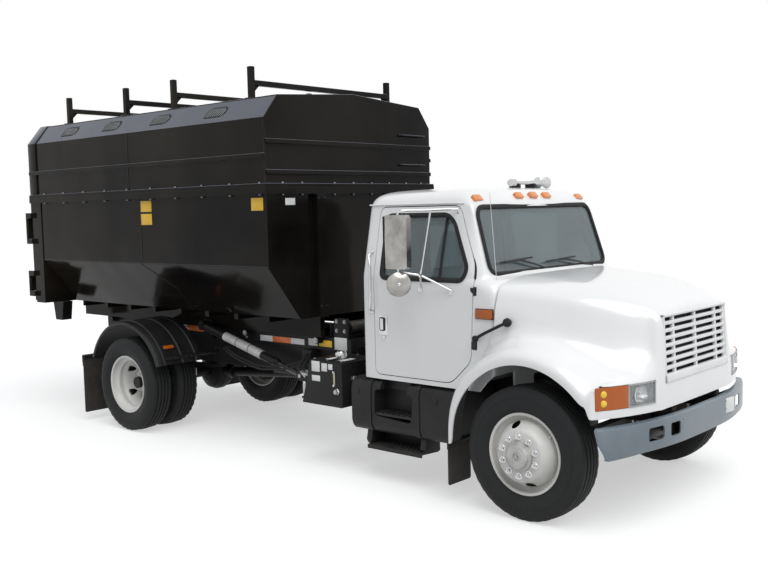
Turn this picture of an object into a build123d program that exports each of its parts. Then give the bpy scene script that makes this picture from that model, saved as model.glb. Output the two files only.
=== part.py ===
import os
from math import cos, hypot, radians, sin

from build123d import *

# A two-axle roll-off truck: cab with tilting hood, tilting hoist and a covered drop box.
# Millimetres, +X forward, +Y to the truck's left, +Z up. The sizes below count X from the
# front axle, and all nodes are shifted at the end so that the origin lies under the middle.

# Wheels and axles
wheelbase = 4870
tyre_radius = 490
tyre_width = 255
rim_flange_radius = 298
rim_seat_radius = 284
rim_width = 208
front_wheel_y = 1043
dual_outer_y = 1081
dual_spacing = 330
hub_radius = 110
spindle_radius = 38
running_gap = 0.05
kingpin_y = 880
kingpin_radius = 22

# Chassis
rail_outer_y = 430
rail_flange = 75
rail_height = 230
rail_web = 9
rail_top = 900
rail_front = 620
rail_rear = -(wheelbase + 1230)
subframe_height = 30

# Cab
cab_rear = -1692
cab_front = -352
cab_half_width = 985
cab_bottom = 860
belt_height = 1700
gutter_height = 2285
gutter_half_width = 862
roof_rise = 127
roof_top = gutter_height + roof_rise
wall = 60
floor_height = 950
floor_thickness = 40
windshield_base = (-440, 1705)
windshield_head = (-626, gutter_height)
glass_thickness = 6
door_gap = 8
door_hinge_x = -528

# Hood
hood_wall = 22
hood_gap = 8
hood_front = 770
fender_half_width = 1200
arch_center = (0, 540)
arch_radius = 605
hood_pivot = (760, 772)

# Bumper
bumper_front = 850
bumper_low = 548
bumper_high = 766
bumper_half_width = 1225
bumper_thickness = 10

# Container
box_front = -2650
box_rear = rail_rear - 590
box_half_width = 1140
box_low_half_width = 760
box_bottom = 1262
crease_height = 1752
box_top = 2405
box_wall = 40
lid_bottom = 2480
lid_chamfer_low = 3074
lid_eave_half_width = 985
lid_eave_height = 3276
lid_ridge_height = 3345
rear_frame_depth = 190
rear_frame_half_width = 1150
box_door_thickness = 60
box_door_top = 2462
box_hinge_y = 1170
box_hinge_radius = 20
sill_inner_y = 462
sill_width = 60
sill_bottom = 1066

# Hoist
pivot_x = rail_rear - 100
pivot_z = 990
beam_outer_y = 450
beam_width = 95
beam_bottom = 936
beam_height = 120
hoist_front = -2330
hoist_rear = pivot_x - 130
seat_gap = 0.3
roller_radius = 34
cylinder_y = 600
barrel_radius = 44
rod_radius = 28
upper_pin = (-4300, 1085)
lower_pin = (-2830, 700)
barrel_length = 1190
eye_half_width = 40
pin_radius = 25

front_reach = bumper_front
rear_reach = -(box_rear - box_door_thickness - 2 * box_hinge_radius)
shift_x = (rear_reach - front_reach) / 2

nodes = {}


def slab(x, y, z):
    """A box between the two values of x, of y and of z."""
    size = (x[1] - x[0], y[1] - y[0], z[1] - z[0])
    middle = ((x[0] + x[1]) / 2, (y[0] + y[1]) / 2, (z[0] + z[1]) / 2)
    return Pos(*middle) * Box(*size)


def side_prism(points, y):
    """An outline of (x, z) points, as thick as the two values of y."""
    plane = Plane(origin=(0, y[1], 0), x_dir=(1, 0, 0), z_dir=(0, -1, 0))
    return extrude(plane * make_face(Polyline(*points, close=True)), y[1] - y[0])


def cross_prism(points, x):
    """An outline of (y, z) points, as long as the two values of x."""
    plane = Plane(origin=(x[0], 0, 0), x_dir=(0, 1, 0), z_dir=(1, 0, 0))
    return extrude(plane * make_face(Polyline(*points, close=True)), x[1] - x[0])


def plan_prism(points, z):
    """An outline of (x, y) points, as high as the two values of z."""
    return extrude(Pos(0, 0, z[0]) * make_face(Polyline(*points, close=True)), z[1] - z[0])


def rod_y(x, z, radius, y):
    """A round bar across the truck."""
    return Pos(x, (y[0] + y[1]) / 2, z) * Rot(90, 0, 0) * Cylinder(radius, y[1] - y[0])


def rod_x(y, z, radius, x):
    """A round bar along the truck."""
    return Pos((x[0] + x[1]) / 2, y, z) * Rot(0, 90, 0) * Cylinder(radius, x[1] - x[0])


def rod_z(x, y, radius, z):
    """A round bar standing up."""
    return Pos(x, y, (z[0] + z[1]) / 2) * Cylinder(radius, z[1] - z[0])


def mirrored(points):
    """The outline's half at y > 0 and its mirror image, as one closed outline."""
    return points + [(-y, z) for y, z in reversed(points)]


def other_side(shape):
    """The same piece on the other side of the truck."""
    return mirror(shape, about=Plane.XZ)


def both_sides(shape):
    return Part() + [shape, other_side(shape)]


def spun(points, y):
    """A ring turned about the wheel axis from (along the axis, radius) points."""
    face = make_face(Polyline(*[(0, a, r) for a, r in points], close=True))
    return Pos(0, y, 0) * revolve(face, Axis.Y)


# Ladder frame
rail_bottom = rail_top - rail_height
rail_inner_y = rail_outer_y - rail_flange
rail = slab((rail_rear, rail_front), (rail_inner_y, rail_outer_y), (rail_bottom, rail_top))
rail -= slab(
    (rail_rear, rail_front),
    (rail_inner_y, rail_outer_y - rail_web),
    (rail_bottom + rail_web, rail_top - rail_web),
)
nodes["frame_rails"] = both_sides(rail)

cross_depth = 90
cross_drop = 20
cross_half_y = rail_outer_y - rail_web
cross_top = rail_top - cross_drop
cross_bars = []
for x in (rail_front - 60, -1500, -2700, -3900, -wheelbase - 530, rail_rear + 60):
    bar = slab((x - 35, x + 35), (-cross_half_y, cross_half_y), (cross_top - cross_depth, cross_top))
    hollow = (cross_top - cross_depth + 8, cross_top - 8)
    bar -= slab((x - 35, x + 27), (-cross_half_y, cross_half_y), hollow)
    cross_bars.append(bar)
nodes["crossmembers"] = Part() + cross_bars

# Leaf springs: a bent pack between the hangers, seated on each axle
spring_thickness = 60
spring_half_length = 620
spring_width = 75
front_spring_y = 392
spring_sag = 55


def spring_pack(x, y, seat_top):
    """Leaves and hangers: the pack hangs from the rail and lies on the axle's seat."""
    low = seat_top
    eye_z = low + spring_sag
    outline = [
        (x - spring_half_length, eye_z + 25),
        (x - spring_half_length, eye_z),
        (x - 150, low),
        (x + 150, low),
        (x + spring_half_length, eye_z),
        (x + spring_half_length, eye_z + 25),
        (x + 150, low + spring_thickness),
        (x - 150, low + spring_thickness),
    ]
    pack = side_prism(outline, (y - spring_width / 2, y + spring_width / 2))
    for end in (-1, 1):
        foot = x + end * (spring_half_length - 30)
        pack += slab(
            (foot - 30, foot + 30),
            (y - spring_width / 2, y + spring_width / 2),
            (eye_z, rail_bottom),
        )
    return pack


front_beam_top = 500
rear_seat_top = 570
nodes["leaf_springs"] = both_sides(
    spring_pack(0, front_spring_y, front_beam_top)
) + both_sides(spring_pack(-wheelbase, front_spring_y, rear_seat_top))

# Front axle: a dropped beam with a boss at each end for the kingpin
beam_outline = mirrored(
    [
        (0, 395),
        (520, 395),
        (680, 440),
        (kingpin_y - 30, 450),
        (kingpin_y - 30, 530),
        (640, 530),
        (560, front_beam_top),
        (0, front_beam_top),
    ]
)
axle_beam = cross_prism(beam_outline[1:7] + beam_outline[9:15], (-45, 45))
boss_half_height = 45
boss_radius = 48
boss = rod_z(0, kingpin_y, boss_radius, (tyre_radius - boss_half_height, tyre_radius + boss_half_height))
axle_beam += both_sides(boss)
kingpin_hole = rod_z(0, kingpin_y, kingpin_radius + running_gap, (300, 700))
nodes["front_axle"] = axle_beam - both_sides(kingpin_hole)

# Knuckles: a fork round the boss, its kingpin and the spindle for the hub
fork_gap = 0.3
spindle_tip = front_wheel_y + 75
for side, name in ((1, "left"), (-1, "right")):
    knuckle = rod_z(0, kingpin_y, kingpin_radius, (tyre_radius - 85, tyre_radius + 85))
    for level in (-1, 1):
        start = tyre_radius + level * (boss_half_height + fork_gap)
        arm = sorted((start, start + level * 32))
        knuckle += slab((-42, 42), (kingpin_y - 42, kingpin_y + 72), arm)
    knuckle += slab((-42, 42), (kingpin_y + 55, kingpin_y + 80), (tyre_radius - 77, tyre_radius + 77))
    knuckle += rod_y(0, tyre_radius, spindle_radius, (kingpin_y + 60, spindle_tip))
    nodes["knuckle_" + name] = knuckle if side > 0 else other_side(knuckle)

# Tyres: shoulders, sidewalls and a flat tread with grooves round it
half_tyre = tyre_width / 2
groove_depth = 14
tread_half = 100
groove_spots = (-60, -20, 20, 60)


def tyre_ring(y):
    outline = [(-82, rim_seat_radius)]
    outline += [(-96, rim_flange_radius + 4), (-half_tyre + 14, 335), (-half_tyre, 385), (-half_tyre + 10, 440)]
    outline += [(-tread_half - 10, tyre_radius - 22), (-tread_half, tyre_radius - 6)]
    for spot in groove_spots:
        outline += [(spot - 7, tyre_radius), (spot - 4, tyre_radius - groove_depth)]
        outline += [(spot + 4, tyre_radius - groove_depth), (spot + 7, tyre_radius)]
    outline += [(tread_half, tyre_radius - 6), (tread_half + 10, tyre_radius - 22), (half_tyre - 10, 440)]
    outline += [(half_tyre, 385), (half_tyre - 14, 335), (96, rim_flange_radius + 4)]
    outline += [(82, rim_seat_radius)]
    return spun(outline, y)


def rim_with_disc(y, weld, face):
    """Drop-centre rim and disc: the disc is welded in at weld and bolts on at face."""
    half = rim_width / 2
    skin = 8
    plate = 14 if face > weld else -14
    drop = rim_seat_radius - 34
    outer = [(-half, rim_flange_radius), (-half + 8, rim_flange_radius), (-half + 12, rim_seat_radius)]
    outer += [(-58, rim_seat_radius), (-44, rim_seat_radius - 6), (-28, drop), (28, drop)]
    outer += [(44, rim_seat_radius - 6), (58, rim_seat_radius), (half - 12, rim_seat_radius)]
    outer += [(half - 8, rim_flange_radius)]
    outer += [(half, rim_flange_radius)]
    inner = [(half, rim_seat_radius - skin), (48, rim_seat_radius - 6 - skin), (32, drop - skin)]
    inner += [(-32, drop - skin), (-48, rim_seat_radius - 6 - skin), (-half, rim_seat_radius - skin)]
    rim = spun(outer + inner, y)
    disc = [(weld, drop - skin + 2), (weld, 226), (face, 178), (face, 0)]
    disc += [(face - plate, 0), (face - plate, 168), (weld - plate, 216), (weld - plate, drop - skin + 2)]
    rim += spun(disc, y)
    hand_hole_radius = 203
    for side in (-1, 1):
        rim -= rod_y(0, side * hand_hole_radius, 26, sorted((y + weld - 2 * plate, y + face + plate)))
    return rim


front_disc_weld = 20
front_disc_face = 62
front_rim = rim_with_disc(front_wheel_y, front_disc_weld, front_disc_face)
hub_outer_y = front_wheel_y + front_disc_face
front_rim += rod_y(0, 0, hub_radius, (hub_outer_y - 100, hub_outer_y - 10))
front_rim += rod_y(0, 0, 82, (hub_outer_y - 10, hub_outer_y + 42))
front_rim -= rod_y(0, 0, spindle_radius + running_gap, (900, spindle_tip + 5))
front_tyre = tyre_ring(front_wheel_y)
for side, name in ((1, "left"), (-1, "right")):
    placed_rim = Pos(0, 0, tyre_radius) * front_rim
    placed_tyre = Pos(0, 0, tyre_radius) * front_tyre
    nodes["front_wheel_" + name] = placed_rim if side > 0 else other_side(placed_rim)
    nodes["front_tyre_" + name] = placed_tyre if side > 0 else other_side(placed_tyre)

dual_inner_y = dual_outer_y - dual_spacing
dual_face_y = (dual_inner_y + dual_outer_y) / 2
axle_shaft_radius = 60
hub_end_y = dual_outer_y + 10
rear_rim = rim_with_disc(dual_outer_y, -16, dual_face_y - dual_outer_y)
rear_rim += rim_with_disc(dual_inner_y, 16, dual_face_y - dual_inner_y)
rear_rim += rod_y(0, 0, 135, (dual_face_y - 90, hub_end_y))
rear_rim -= rod_y(0, 0, axle_shaft_radius + running_gap, (500, hub_end_y - 25))
rear_tyres = tyre_ring(dual_outer_y) + tyre_ring(dual_inner_y)
for side, name in ((1, "left"), (-1, "right")):
    placed_rim = Pos(-wheelbase, 0, tyre_radius) * rear_rim
    placed_tyre = Pos(-wheelbase, 0, tyre_radius) * rear_tyres
    nodes["rear_wheels_" + name] = placed_rim if side > 0 else other_side(placed_rim)
    nodes["rear_tyres_" + name] = placed_tyre if side > 0 else other_side(placed_tyre)

# Rear axle: tubes, the round diff housing and the spring seats
rear_axle = rod_y(-wheelbase, tyre_radius, axle_shaft_radius, (-hub_end_y + 26, hub_end_y - 26))
diff_profile = [(-150, 0), (-150, 90), (-90, 180), (-30, 205), (30, 205), (90, 180), (150, 90), (150, 0)]
rear_axle += Pos(-wheelbase, 0, tyre_radius - 15) * spun(diff_profile, 0)
rear_axle += rod_x(0, tyre_radius, 75, (-wheelbase, -wheelbase + 330))
rear_axle += both_sides(
    slab(
        (-wheelbase - 70, -wheelbase + 70),
        (front_spring_y - 40, front_spring_y + 40),
        (tyre_radius, rear_seat_top),
    )
)
nodes["rear_axle"] = rear_axle

# Engine with gearbox, and the radiator behind the grille
engine = slab((-300, 480), (-300, 300), (640, 1280))
engine += slab((-1150, -300), (-190, 190), (640, 930))
radiator = slab((560, 640), (-350, 350), (cross_top, 1400))
nodes["engine"] = engine + radiator
shaft_start = (-1150, 0, 760)
shaft_end = (-wheelbase + 330, 0, tyre_radius)
shaft_path = Line(shaft_start, shaft_end)
shaft_plane = Plane(origin=shaft_start, z_dir=shaft_path % 0)
driveshaft = extrude(shaft_plane * Circle(48), shaft_path.length)
nodes["driveshaft"] = driveshaft - nodes["engine"] - rear_axle
exhaust_z = 640
exhaust = rod_x(-250, exhaust_z, 95, (-2650, -1750)) + rod_x(-250, exhaust_z, 35, (-1750, -1250))
exhaust += rod_x(-250, exhaust_z, 35, (-3600, -2650))
for x in (-2600, -1850):
    exhaust += slab((x, x + 40), (-400, -250), (rail_bottom - 15, rail_bottom))
nodes["exhaust"] = exhaust

# Front bumper: a curved channel, swept back at its ends, with two tow holes a side
def bumper_plan(inset):
    """The bumper's outline from above, as far behind its face as the inset."""
    nose = bumper_front - inset
    shoulder = bumper_front - 50 - inset
    return [
        (nose, 0),
        (nose - 6, 300),
        (shoulder, 680),
        (shoulder - 60, 1000),
        (shoulder - 150, bumper_half_width - inset),
        (bumper_front - 290, bumper_half_width - inset),
    ]


def bumper_solid(inset, z):
    half = bumper_plan(inset)
    whole = half + [(x, -y) for x, y in reversed(half)][:-1]
    return plan_prism(whole, z)


bumper = bumper_solid(0, (bumper_low, bumper_high))
bumper -= bumper_solid(bumper_thickness, (bumper_low + 8, bumper_high - 8))
bumper -= slab((bumper_front - 450, bumper_front - 150), (-1000, 1000), (bumper_low, bumper_high))
for y0, y1 in ((622, 790), (416, 544)):
    hole = slab((bumper_front - 250, bumper_front + 50), (y0, y1), (bumper_low + 72, bumper_high - 51))
    bumper -= both_sides(hole)
hinge_notch = slab((bumper_front - 150, bumper_front - 50), (345, 425), (bumper_high - 20, bumper_high + 5))
bumper -= both_sides(hinge_notch)
bracket = slab((rail_front, bumper_front), (rail_inner_y, rail_outer_y), (rail_bottom, 735))
bumper += both_sides(bracket & bumper_solid(bumper_thickness - 2, (0, 1000)))
hinge_ear_y = (375, 395)
hood_pin_radius = 12
hinge_ear = slab((hood_pivot[0] - 30, hood_pivot[0] + 24), hinge_ear_y, (720, hood_pivot[1] + 22))
hinge_ear -= rod_y(*hood_pivot, hood_pin_radius + running_gap, (300, 500))
bumper += both_sides(hinge_ear)
nodes["front_bumper"] = bumper

# Fuel tank with its step (right) and battery box with its step (left)
tank_outline = [
    (530, 400),
    (960, 400),
    (1010, 450),
    (1022, 620),
    (1005, 780),
    (940, 845),
    (530, 845),
]
tank = cross_prism(tank_outline, (-1790, -700))
tank -= slab((-1420, -1080), (900, 1100), (600, 760))
tank += slab((-1660, -1040), (800, 1015), (268, 300))
for x in (-1640, -1100):
    tank += slab((x, x + 40), (850, 880), (300, 400))
for x in (-1600, -950):
    tank += slab((x, x + 60), (rail_outer_y, 530), (rail_bottom + 30, rail_top - 20))
nodes["battery_box"] = tank
nodes["fuel_tank"] = other_side(tank)

# Hydraulic tank behind the cab, on its bracket
tank_front = -1930
tank_side = [
    (tank_front, 558),
    (tank_front, 950),
    (tank_front - 380, 950),
    (tank_front - 490, 610),
    (tank_front - 440, 558),
]
oil_tank = side_prism(tank_side, (-1000, -600))
oil_tank += slab((-2260, -2000), (-600, -rail_outer_y), (690, 850))
oil_tank += rod_z(-2060, -850, 45, (950, 1000))
nodes["hydraulic_tank"] = oil_tank

# Rear fenders: half-round shells with a rolled edge, held by bars from the rails
fender_radius = 645
fender_skin = 16
fender_y = (655, 1212)
fender_center = (-wheelbase, tyre_radius + 15)
shell = rod_y(*fender_center, fender_radius, fender_y) - rod_y(
    *fender_center, fender_radius - fender_skin, fender_y
)
for start in (fender_y[0], 865, fender_y[1] - 24):
    rib = rod_y(*fender_center, fender_radius + 12, (start, start + 24))
    shell += rib - rod_y(*fender_center, fender_radius, (start, start + 24))
cut_low = 735
shell -= slab((-wheelbase - 800, -wheelbase + 800), (500, 1400), (-300, cut_low))
fender_bar_z = 775
for x in (-wheelbase + 560, -wheelbase - 620):
    shell += slab((x, x + 40), (rail_outer_y, 1100), (fender_bar_z, fender_bar_z + 40))
nodes["rear_fenders"] = both_sides(shell)

# Mud flaps, and the tail lamps on their hanger bars
flap_x = -wheelbase - 795
flap_y = (670, 1205)
bar_z = (690, 730)
hanger = slab((flap_x - 25, flap_x + 15), (rail_outer_y, flap_y[1]), bar_z)
lamp = slab((flap_x - 75, flap_x - 25), (900, 1180), (600, bar_z[1]))
nodes["tail_lamps"] = both_sides(hanger + lamp)
rear_flap = slab((flap_x - 6, flap_x + 6), flap_y, (95, bar_z[0]))
front_flap_x = (-688, -676)
front_hanger_x = (-694, -672)
front_flap = slab(front_flap_x, (860, 1145), (140, 450))
front_hanger = slab(front_hanger_x, (rail_outer_y, 1140), (450, 475))
front_hanger += slab(front_hanger_x, (rail_outer_y, 470), (475, rail_bottom + 60))
nodes["mud_flaps"] = both_sides(rear_flap) + both_sides(front_flap + front_hanger)

# Hoist subframe: strips on the rails, the rear pivot ears and the cylinder brackets
subframe = slab((rail_rear, hoist_front), (rail_inner_y, rail_outer_y), (rail_top, rail_top + subframe_height))
ear_outline = [
    (rail_rear - 40, rail_bottom + 60),
    (rail_rear + 5, rail_bottom + 60),
    (rail_rear + 5, rail_top + subframe_height),
    (pivot_x + 45, pivot_z + 30),
    (pivot_x + 20, pivot_z + 45),
    (pivot_x - 20, pivot_z + 45),
    (pivot_x - 45, pivot_z + 20),
]
ear_y = (300, 345)
subframe += side_prism(ear_outline, ear_y)
subframe += slab(
    (rail_rear - 40, rail_rear), (ear_y[1] - 5, rail_outer_y), (rail_bottom + 60, rail_top + subframe_height)
)
subframe += slab((rail_rear, rail_rear + 120), (ear_y[0], rail_inner_y + 5), (rail_top, rail_top + subframe_height))
cylinder_foot = slab(
    (lower_pin[0] - 60, lower_pin[0] + 60),
    (rail_outer_y, cylinder_y - eye_half_width - 20),
    (lower_pin[1] - 30, rail_top + subframe_height),
)
cylinder_foot += rod_y(*lower_pin, 50, (cylinder_y - eye_half_width - 60, cylinder_y - eye_half_width - seat_gap))
subframe += cylinder_foot
nodes["hoist_subframe"] = both_sides(subframe)

# Tilt frame: two box beams, their cross tubes, side rollers, pivot bosses and cylinder brackets
beam_top = beam_bottom + beam_height
beam_y = (beam_outer_y - beam_width, beam_outer_y)
tilt = both_sides(slab((hoist_rear, hoist_front), beam_y, (beam_bottom, beam_top)))
pivot_gap = 0.3
tilt += rod_y(pivot_x, pivot_z, pin_radius + 15, (-beam_y[0], -ear_y[1] - pivot_gap))
tilt += rod_y(pivot_x, pivot_z, pin_radius + 15, (ear_y[1] + pivot_gap, beam_y[0]))
for x in (hoist_front - 120, -3300, -4500, pivot_x + 500):
    tilt += slab((x - 50, x + 50), (-beam_y[0], beam_y[0]), (beam_bottom + 20, beam_top - 10))
roller_z = sill_bottom - seat_gap - roller_radius
for x in (-2720, -3740, -4900, pivot_x + 50):
    tilt += both_sides(rod_y(x, roller_z, roller_radius, (beam_outer_y, sill_inner_y + sill_width)))
upper_plate_y = (cylinder_y - eye_half_width - 28, cylinder_y - eye_half_width - 10)
bracket = slab(
    (upper_pin[0] - 70, upper_pin[0] + 70), (beam_outer_y, upper_plate_y[1]), (beam_bottom + 5, beam_top - 20)
)
bracket += slab(
    (upper_pin[0] - 70, upper_pin[0] + 70), upper_plate_y, (beam_bottom + 5, upper_pin[1] + 55)
)
bracket += rod_y(*upper_pin, pin_radius, (upper_plate_y[0], cylinder_y + eye_half_width + 8))
tilt += both_sides(bracket)
nodes["tilt_frame"] = tilt

# Winch: drum between two plates at the front of the tilt frame
plate_x = (-2545, -2365)
winch = both_sides(slab(plate_x, (beam_outer_y - 20, beam_outer_y), (beam_top, 1250)))
winch += rod_y(-2455, 1150, 70, (-beam_outer_y + 20, beam_outer_y - 20))
nodes["winch"] = winch

# Lift cylinders: barrels pinned to the tilt frame, rods with open eyes at the chassis
reach = (lower_pin[0] - upper_pin[0], lower_pin[1] - upper_pin[1])
closed_length = hypot(*reach)
along = (reach[0] / closed_length, reach[1] / closed_length)


def on_cylinder(distance, y=cylinder_y):
    return (upper_pin[0] + along[0] * distance, y, upper_pin[1] + along[1] * distance)


def cylinder_bar(radius, start, end):
    """A round bar on the lift cylinder's axis, between two distances from its upper pin."""
    plane = Plane(origin=on_cylinder(start), z_dir=(along[0], 0, along[1]))
    return extrude(plane * Circle(radius), end - start)


rod_bore_radius = rod_radius + running_gap
barrel = cylinder_bar(barrel_radius, 45, barrel_length)
barrel += rod_y(*upper_pin, 50, (cylinder_y - eye_half_width, cylinder_y + eye_half_width))
barrel -= rod_y(*upper_pin, pin_radius + running_gap, (cylinder_y - 100, cylinder_y + 100))
barrel -= cylinder_bar(rod_bore_radius, 90, barrel_length + 10)
nodes["lift_barrels"] = both_sides(barrel)
rod = cylinder_bar(rod_radius, 100, closed_length)
rod += rod_y(*lower_pin, 48, (cylinder_y - eye_half_width, cylinder_y + eye_half_width))
nodes["lift_rods"] = both_sides(rod)


# Cab: a hollow shell, split into floor, back, sides, cowl and roof
def cab_section(inset):
    """The cab's cross-section, as far inside the skin as the inset."""
    return mirrored(
        [
            (cab_half_width - inset, cab_bottom),
            (cab_half_width - inset, belt_height),
            (gutter_half_width - inset, gutter_height),
            (800 - inset, roof_top - 62 - inset),
            (600 - inset, roof_top - 17 - inset),
            (200, roof_top - inset),
        ]
    )


def cab_side_outline(inset):
    """The cab from the side, without its doors, as far inside the skin as the inset."""
    return [
        (cab_rear + inset, cab_bottom - 100),
        (cab_front - inset, cab_bottom - 100),
        (cab_front - inset, 1640),
        (-385 - inset, windshield_base[1]),
        (windshield_base[0] - inset, windshield_base[1]),
        (windshield_head[0] - inset, windshield_head[1]),
        (-665 - inset, roof_top - 77 - inset / 2),
        (-760 - inset / 2, roof_top - 27 - inset),
        (-950, roof_top + 5 - inset),
        (cab_rear + 110, roof_top + 5 - inset),
        (cab_rear + inset, roof_top - 77 - inset),
    ]


cab_span = (-1200, 1200)
outer = cross_prism(cab_section(0), (cab_rear, cab_front)) & side_prism(cab_side_outline(0), cab_span)
inner = cross_prism(cab_section(wall), (cab_rear, cab_front)) & side_prism(cab_side_outline(wall), cab_span)
inner -= slab((-2000, 0), (-1200, 1200), (cab_bottom - 200, cab_bottom - 100))
cab_shell = outer - inner

door_outline = [
    (-1542, 902),
    (-764, 902),
    (-573, 1085),
    (-540, belt_height + 85),
    (-735, gutter_height - 23),
    (-1545, gutter_height - 23),
]
window_outline = [
    (-1465, belt_height - 5),
    (-690, belt_height - 5),
    (-606, belt_height + 85),
    (-775, gutter_height - 150),
    (-850, gutter_height - 90),
    (-1465, gutter_height - 90),
]


def grown(points, amount):
    """The outline moved out by an amount all round."""
    face = offset(make_face(Polyline(*[(x, z, 0) for x, z in points], close=True)), amount, kind=Kind.INTERSECTION)
    plane = Plane(origin=(0, 1200, 0), x_dir=(1, 0, 0), z_dir=(0, -1, 0))
    return extrude(plane * face, 700)


door_region = side_prism(door_outline, (500, 1200))
door_hole = grown(door_outline, door_gap)
window_hole = side_prism(window_outline, (500, 1200))
side_layer = cab_shell & slab((-2000, 0), (700, 1200), (cab_bottom, gutter_height + 1))
door_left = (side_layer & door_region) - window_hole
pane_layer = cross_prism(cab_section(27), (-1600, -500)) - cross_prism(cab_section(33), (-1600, -500))
glass_left = pane_layer & window_hole
nodes["door_glass_left"] = glass_left
nodes["door_glass_right"] = other_side(glass_left)

frame_shell = cab_shell - both_sides(door_hole)
roof_region = slab((-2000, 0), (-1200, 1200), (gutter_height, roof_top + 200))
back_region = slab((-2000, cab_rear + wall), (-1200, 1200), (0, gutter_height))
cowl_x = (door_hinge_x + door_gap, 0)
front_region = slab(cowl_x, (-1200, 1200), (0, windshield_base[1]))
nodes["cab_roof"] = frame_shell & roof_region
rear_window = ((-560, 560), (belt_height - 10, gutter_height - 175))
rear_window_hole = slab((-2000, cab_rear + 200), *rear_window)
tunnel = slab((-2000, 0), (-rail_outer_y - 40, rail_outer_y + 40), (0, floor_height))
cab_back = (frame_shell & back_region) - rear_window_hole - tunnel
nodes["cab_back"] = cab_back
cowl_region = front_region & slab(cowl_x, (-cab_half_width + wall, cab_half_width - wall), (0, 3000))
cowl = (frame_shell & cowl_region) - tunnel
nodes["cab_cowl"] = cowl
opening_half_low = 862
opening_half_high = 800
windshield_hole = cross_prism(
    mirrored([(opening_half_low, windshield_base[1] + 25), (opening_half_high, gutter_height - 23)]), (-1000, 0)
)
sides = frame_shell - roof_region - back_region - cowl_region - windshield_hole
sides &= slab((cab_rear, 0), (-1200, 1200), (cab_bottom, 3000))

# Room for the steered front wheels in the cab's lower front corners
wheel_room_radius = tyre_radius + 110
wheel_room = both_sides(rod_y(0, tyre_radius, wheel_room_radius, (700, 1200)))
nodes["cab_cowl"] -= wheel_room
sides -= wheel_room

# Door hinges: a pin in the side frame, and a knuckle on the door that turns round it
door_pin_radius = 5
knuckle_radius = 10
for z in (1210, 1620):
    pocket = slab(
        (door_hinge_x - 50, door_hinge_x + knuckle_radius + 6), (cab_half_width - 22, cab_half_width + 50), (z - 34, z + 34)
    )
    sides -= both_sides(pocket)
    sides += both_sides(rod_z(door_hinge_x, cab_half_width, door_pin_radius, (z - 42, z + 42)))
    door_knuckle = rod_z(door_hinge_x, cab_half_width, knuckle_radius, (z - 28, z + 28))
    door_knuckle += slab((door_hinge_x - 50, door_hinge_x), (cab_half_width - 10, cab_half_width - 2), (z - 28, z + 28))
    door_knuckle -= rod_z(door_hinge_x, cab_half_width, door_pin_radius + running_gap, (z - 42, z + 42))
    door_left += door_knuckle
nodes["door_left"] = door_left
nodes["door_right"] = other_side(door_left)
nodes["cab_sides"] = sides
floor_half = cab_half_width - wall
nodes["cab_floor"] = slab(
    (cab_rear + wall, cab_front - wall), (-floor_half, floor_half), (floor_height, floor_height + floor_thickness)
) - both_sides(door_hole)
for x in (-1600, -500):
    mount = slab((x, x + 60), (rail_inner_y + 15, rail_outer_y - 10), (rail_top, floor_height))
    nodes["cab_floor"] += both_sides(mount)

windshield_plane = side_prism(
    [
        (windshield_base[0] - 20, windshield_base[1]),
        (windshield_base[0] - 20 - glass_thickness, windshield_base[1]),
        (windshield_head[0] - 20 - glass_thickness, windshield_head[1]),
        (windshield_head[0] - 20, windshield_head[1]),
    ],
    cab_span,
)
windshield = windshield_plane & windshield_hole
rear_pane = slab((cab_rear + 25, cab_rear + 25 + glass_thickness), *rear_window)
nodes["cab_glass"] = windshield + rear_pane

# Inside the cab
dash_outline = [(-412, 1300), (-412, 1600), (-520, 1640), (-640, 1620), (-680, 1540), (-680, 1420), (-600, 1300)]
nodes["dashboard"] = side_prism(dash_outline, (-floor_half, floor_half))
seat_base = side_prism(
    [(-1480, 1180), (-1000, 1180), (-980, 1230), (-1000, 1290), (-1380, 1270), (-1480, 1270)], (250, 750)
)
seat_back = side_prism([(-1380, 1270), (-1480, 1270), (-1600, 1850), (-1560, 1870), (-1480, 1850)], (260, 740))
seat_foot = slab((-1420, -1060), (320, 680), (floor_height + floor_thickness, 1180))
nodes["seats"] = both_sides(seat_base + seat_back + seat_foot)
wheel_center = (-830, 500, 1510)
wheel_tilt = -50
steering_wheel = Pos(*wheel_center) * Rot(0, wheel_tilt, 0) * (Torus(205, 15) + Box(400, 30, 16) + Cylinder(45, 30))
column = Pos(*wheel_center) * Rot(0, wheel_tilt, 0) * Pos(0, 0, -170) * Cylinder(28, 340)
nodes["steering_wheel"] = (steering_wheel + column) - nodes["dashboard"]

# Air horns on the roof
horn = rod_x(320, 2445, 22, (-1050, -800)) + rod_x(420, 2445, 22, (-1050, -860))
horn += slab((-1000, -960), (300, 440), (roof_top - 35, 2445))
nodes["air_horn"] = horn - nodes["cab_roof"]

# Mirrors: a tall head and a round one on tubes, with a three-legged bracket on the door
mirror_y = 1250
arm_radius = 10
head = slab((-1162, -936), (mirror_y - 28, mirror_y + 50), (1790, 2205))
round_head = Pos(-1050, mirror_y, 1676) * Rot(0, 90, 0) * Cylinder(95, 46)
post_x = -1050
arm_top = gutter_height - 49
upper_arm = [(-760, 868, arm_top), (-860, 1080, arm_top), (post_x, mirror_y, arm_top), (post_x, mirror_y, 1585)]
hub = (-930, 1130, 1740)
bracket_legs = (
    [(post_x, mirror_y, 1770), hub],
    [hub, (-1050, 978, 1626)],
    [hub, (-745, 978, 1617)],
    [hub, (-860, 1080, arm_top)],
)


def tube_run(points, radius):
    """Straight tubes through the points, with a slightly larger ball at each bend."""
    run = Part()
    for start, end in zip(points, points[1:]):
        line = Line(start, end)
        plane = Plane(origin=start, z_dir=line % 0)
        run += extrude(plane * Circle(radius), line.length)
    for joint in points[1:-1]:
        run += Pos(*joint) * Sphere(radius + 2)
    return run


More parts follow.
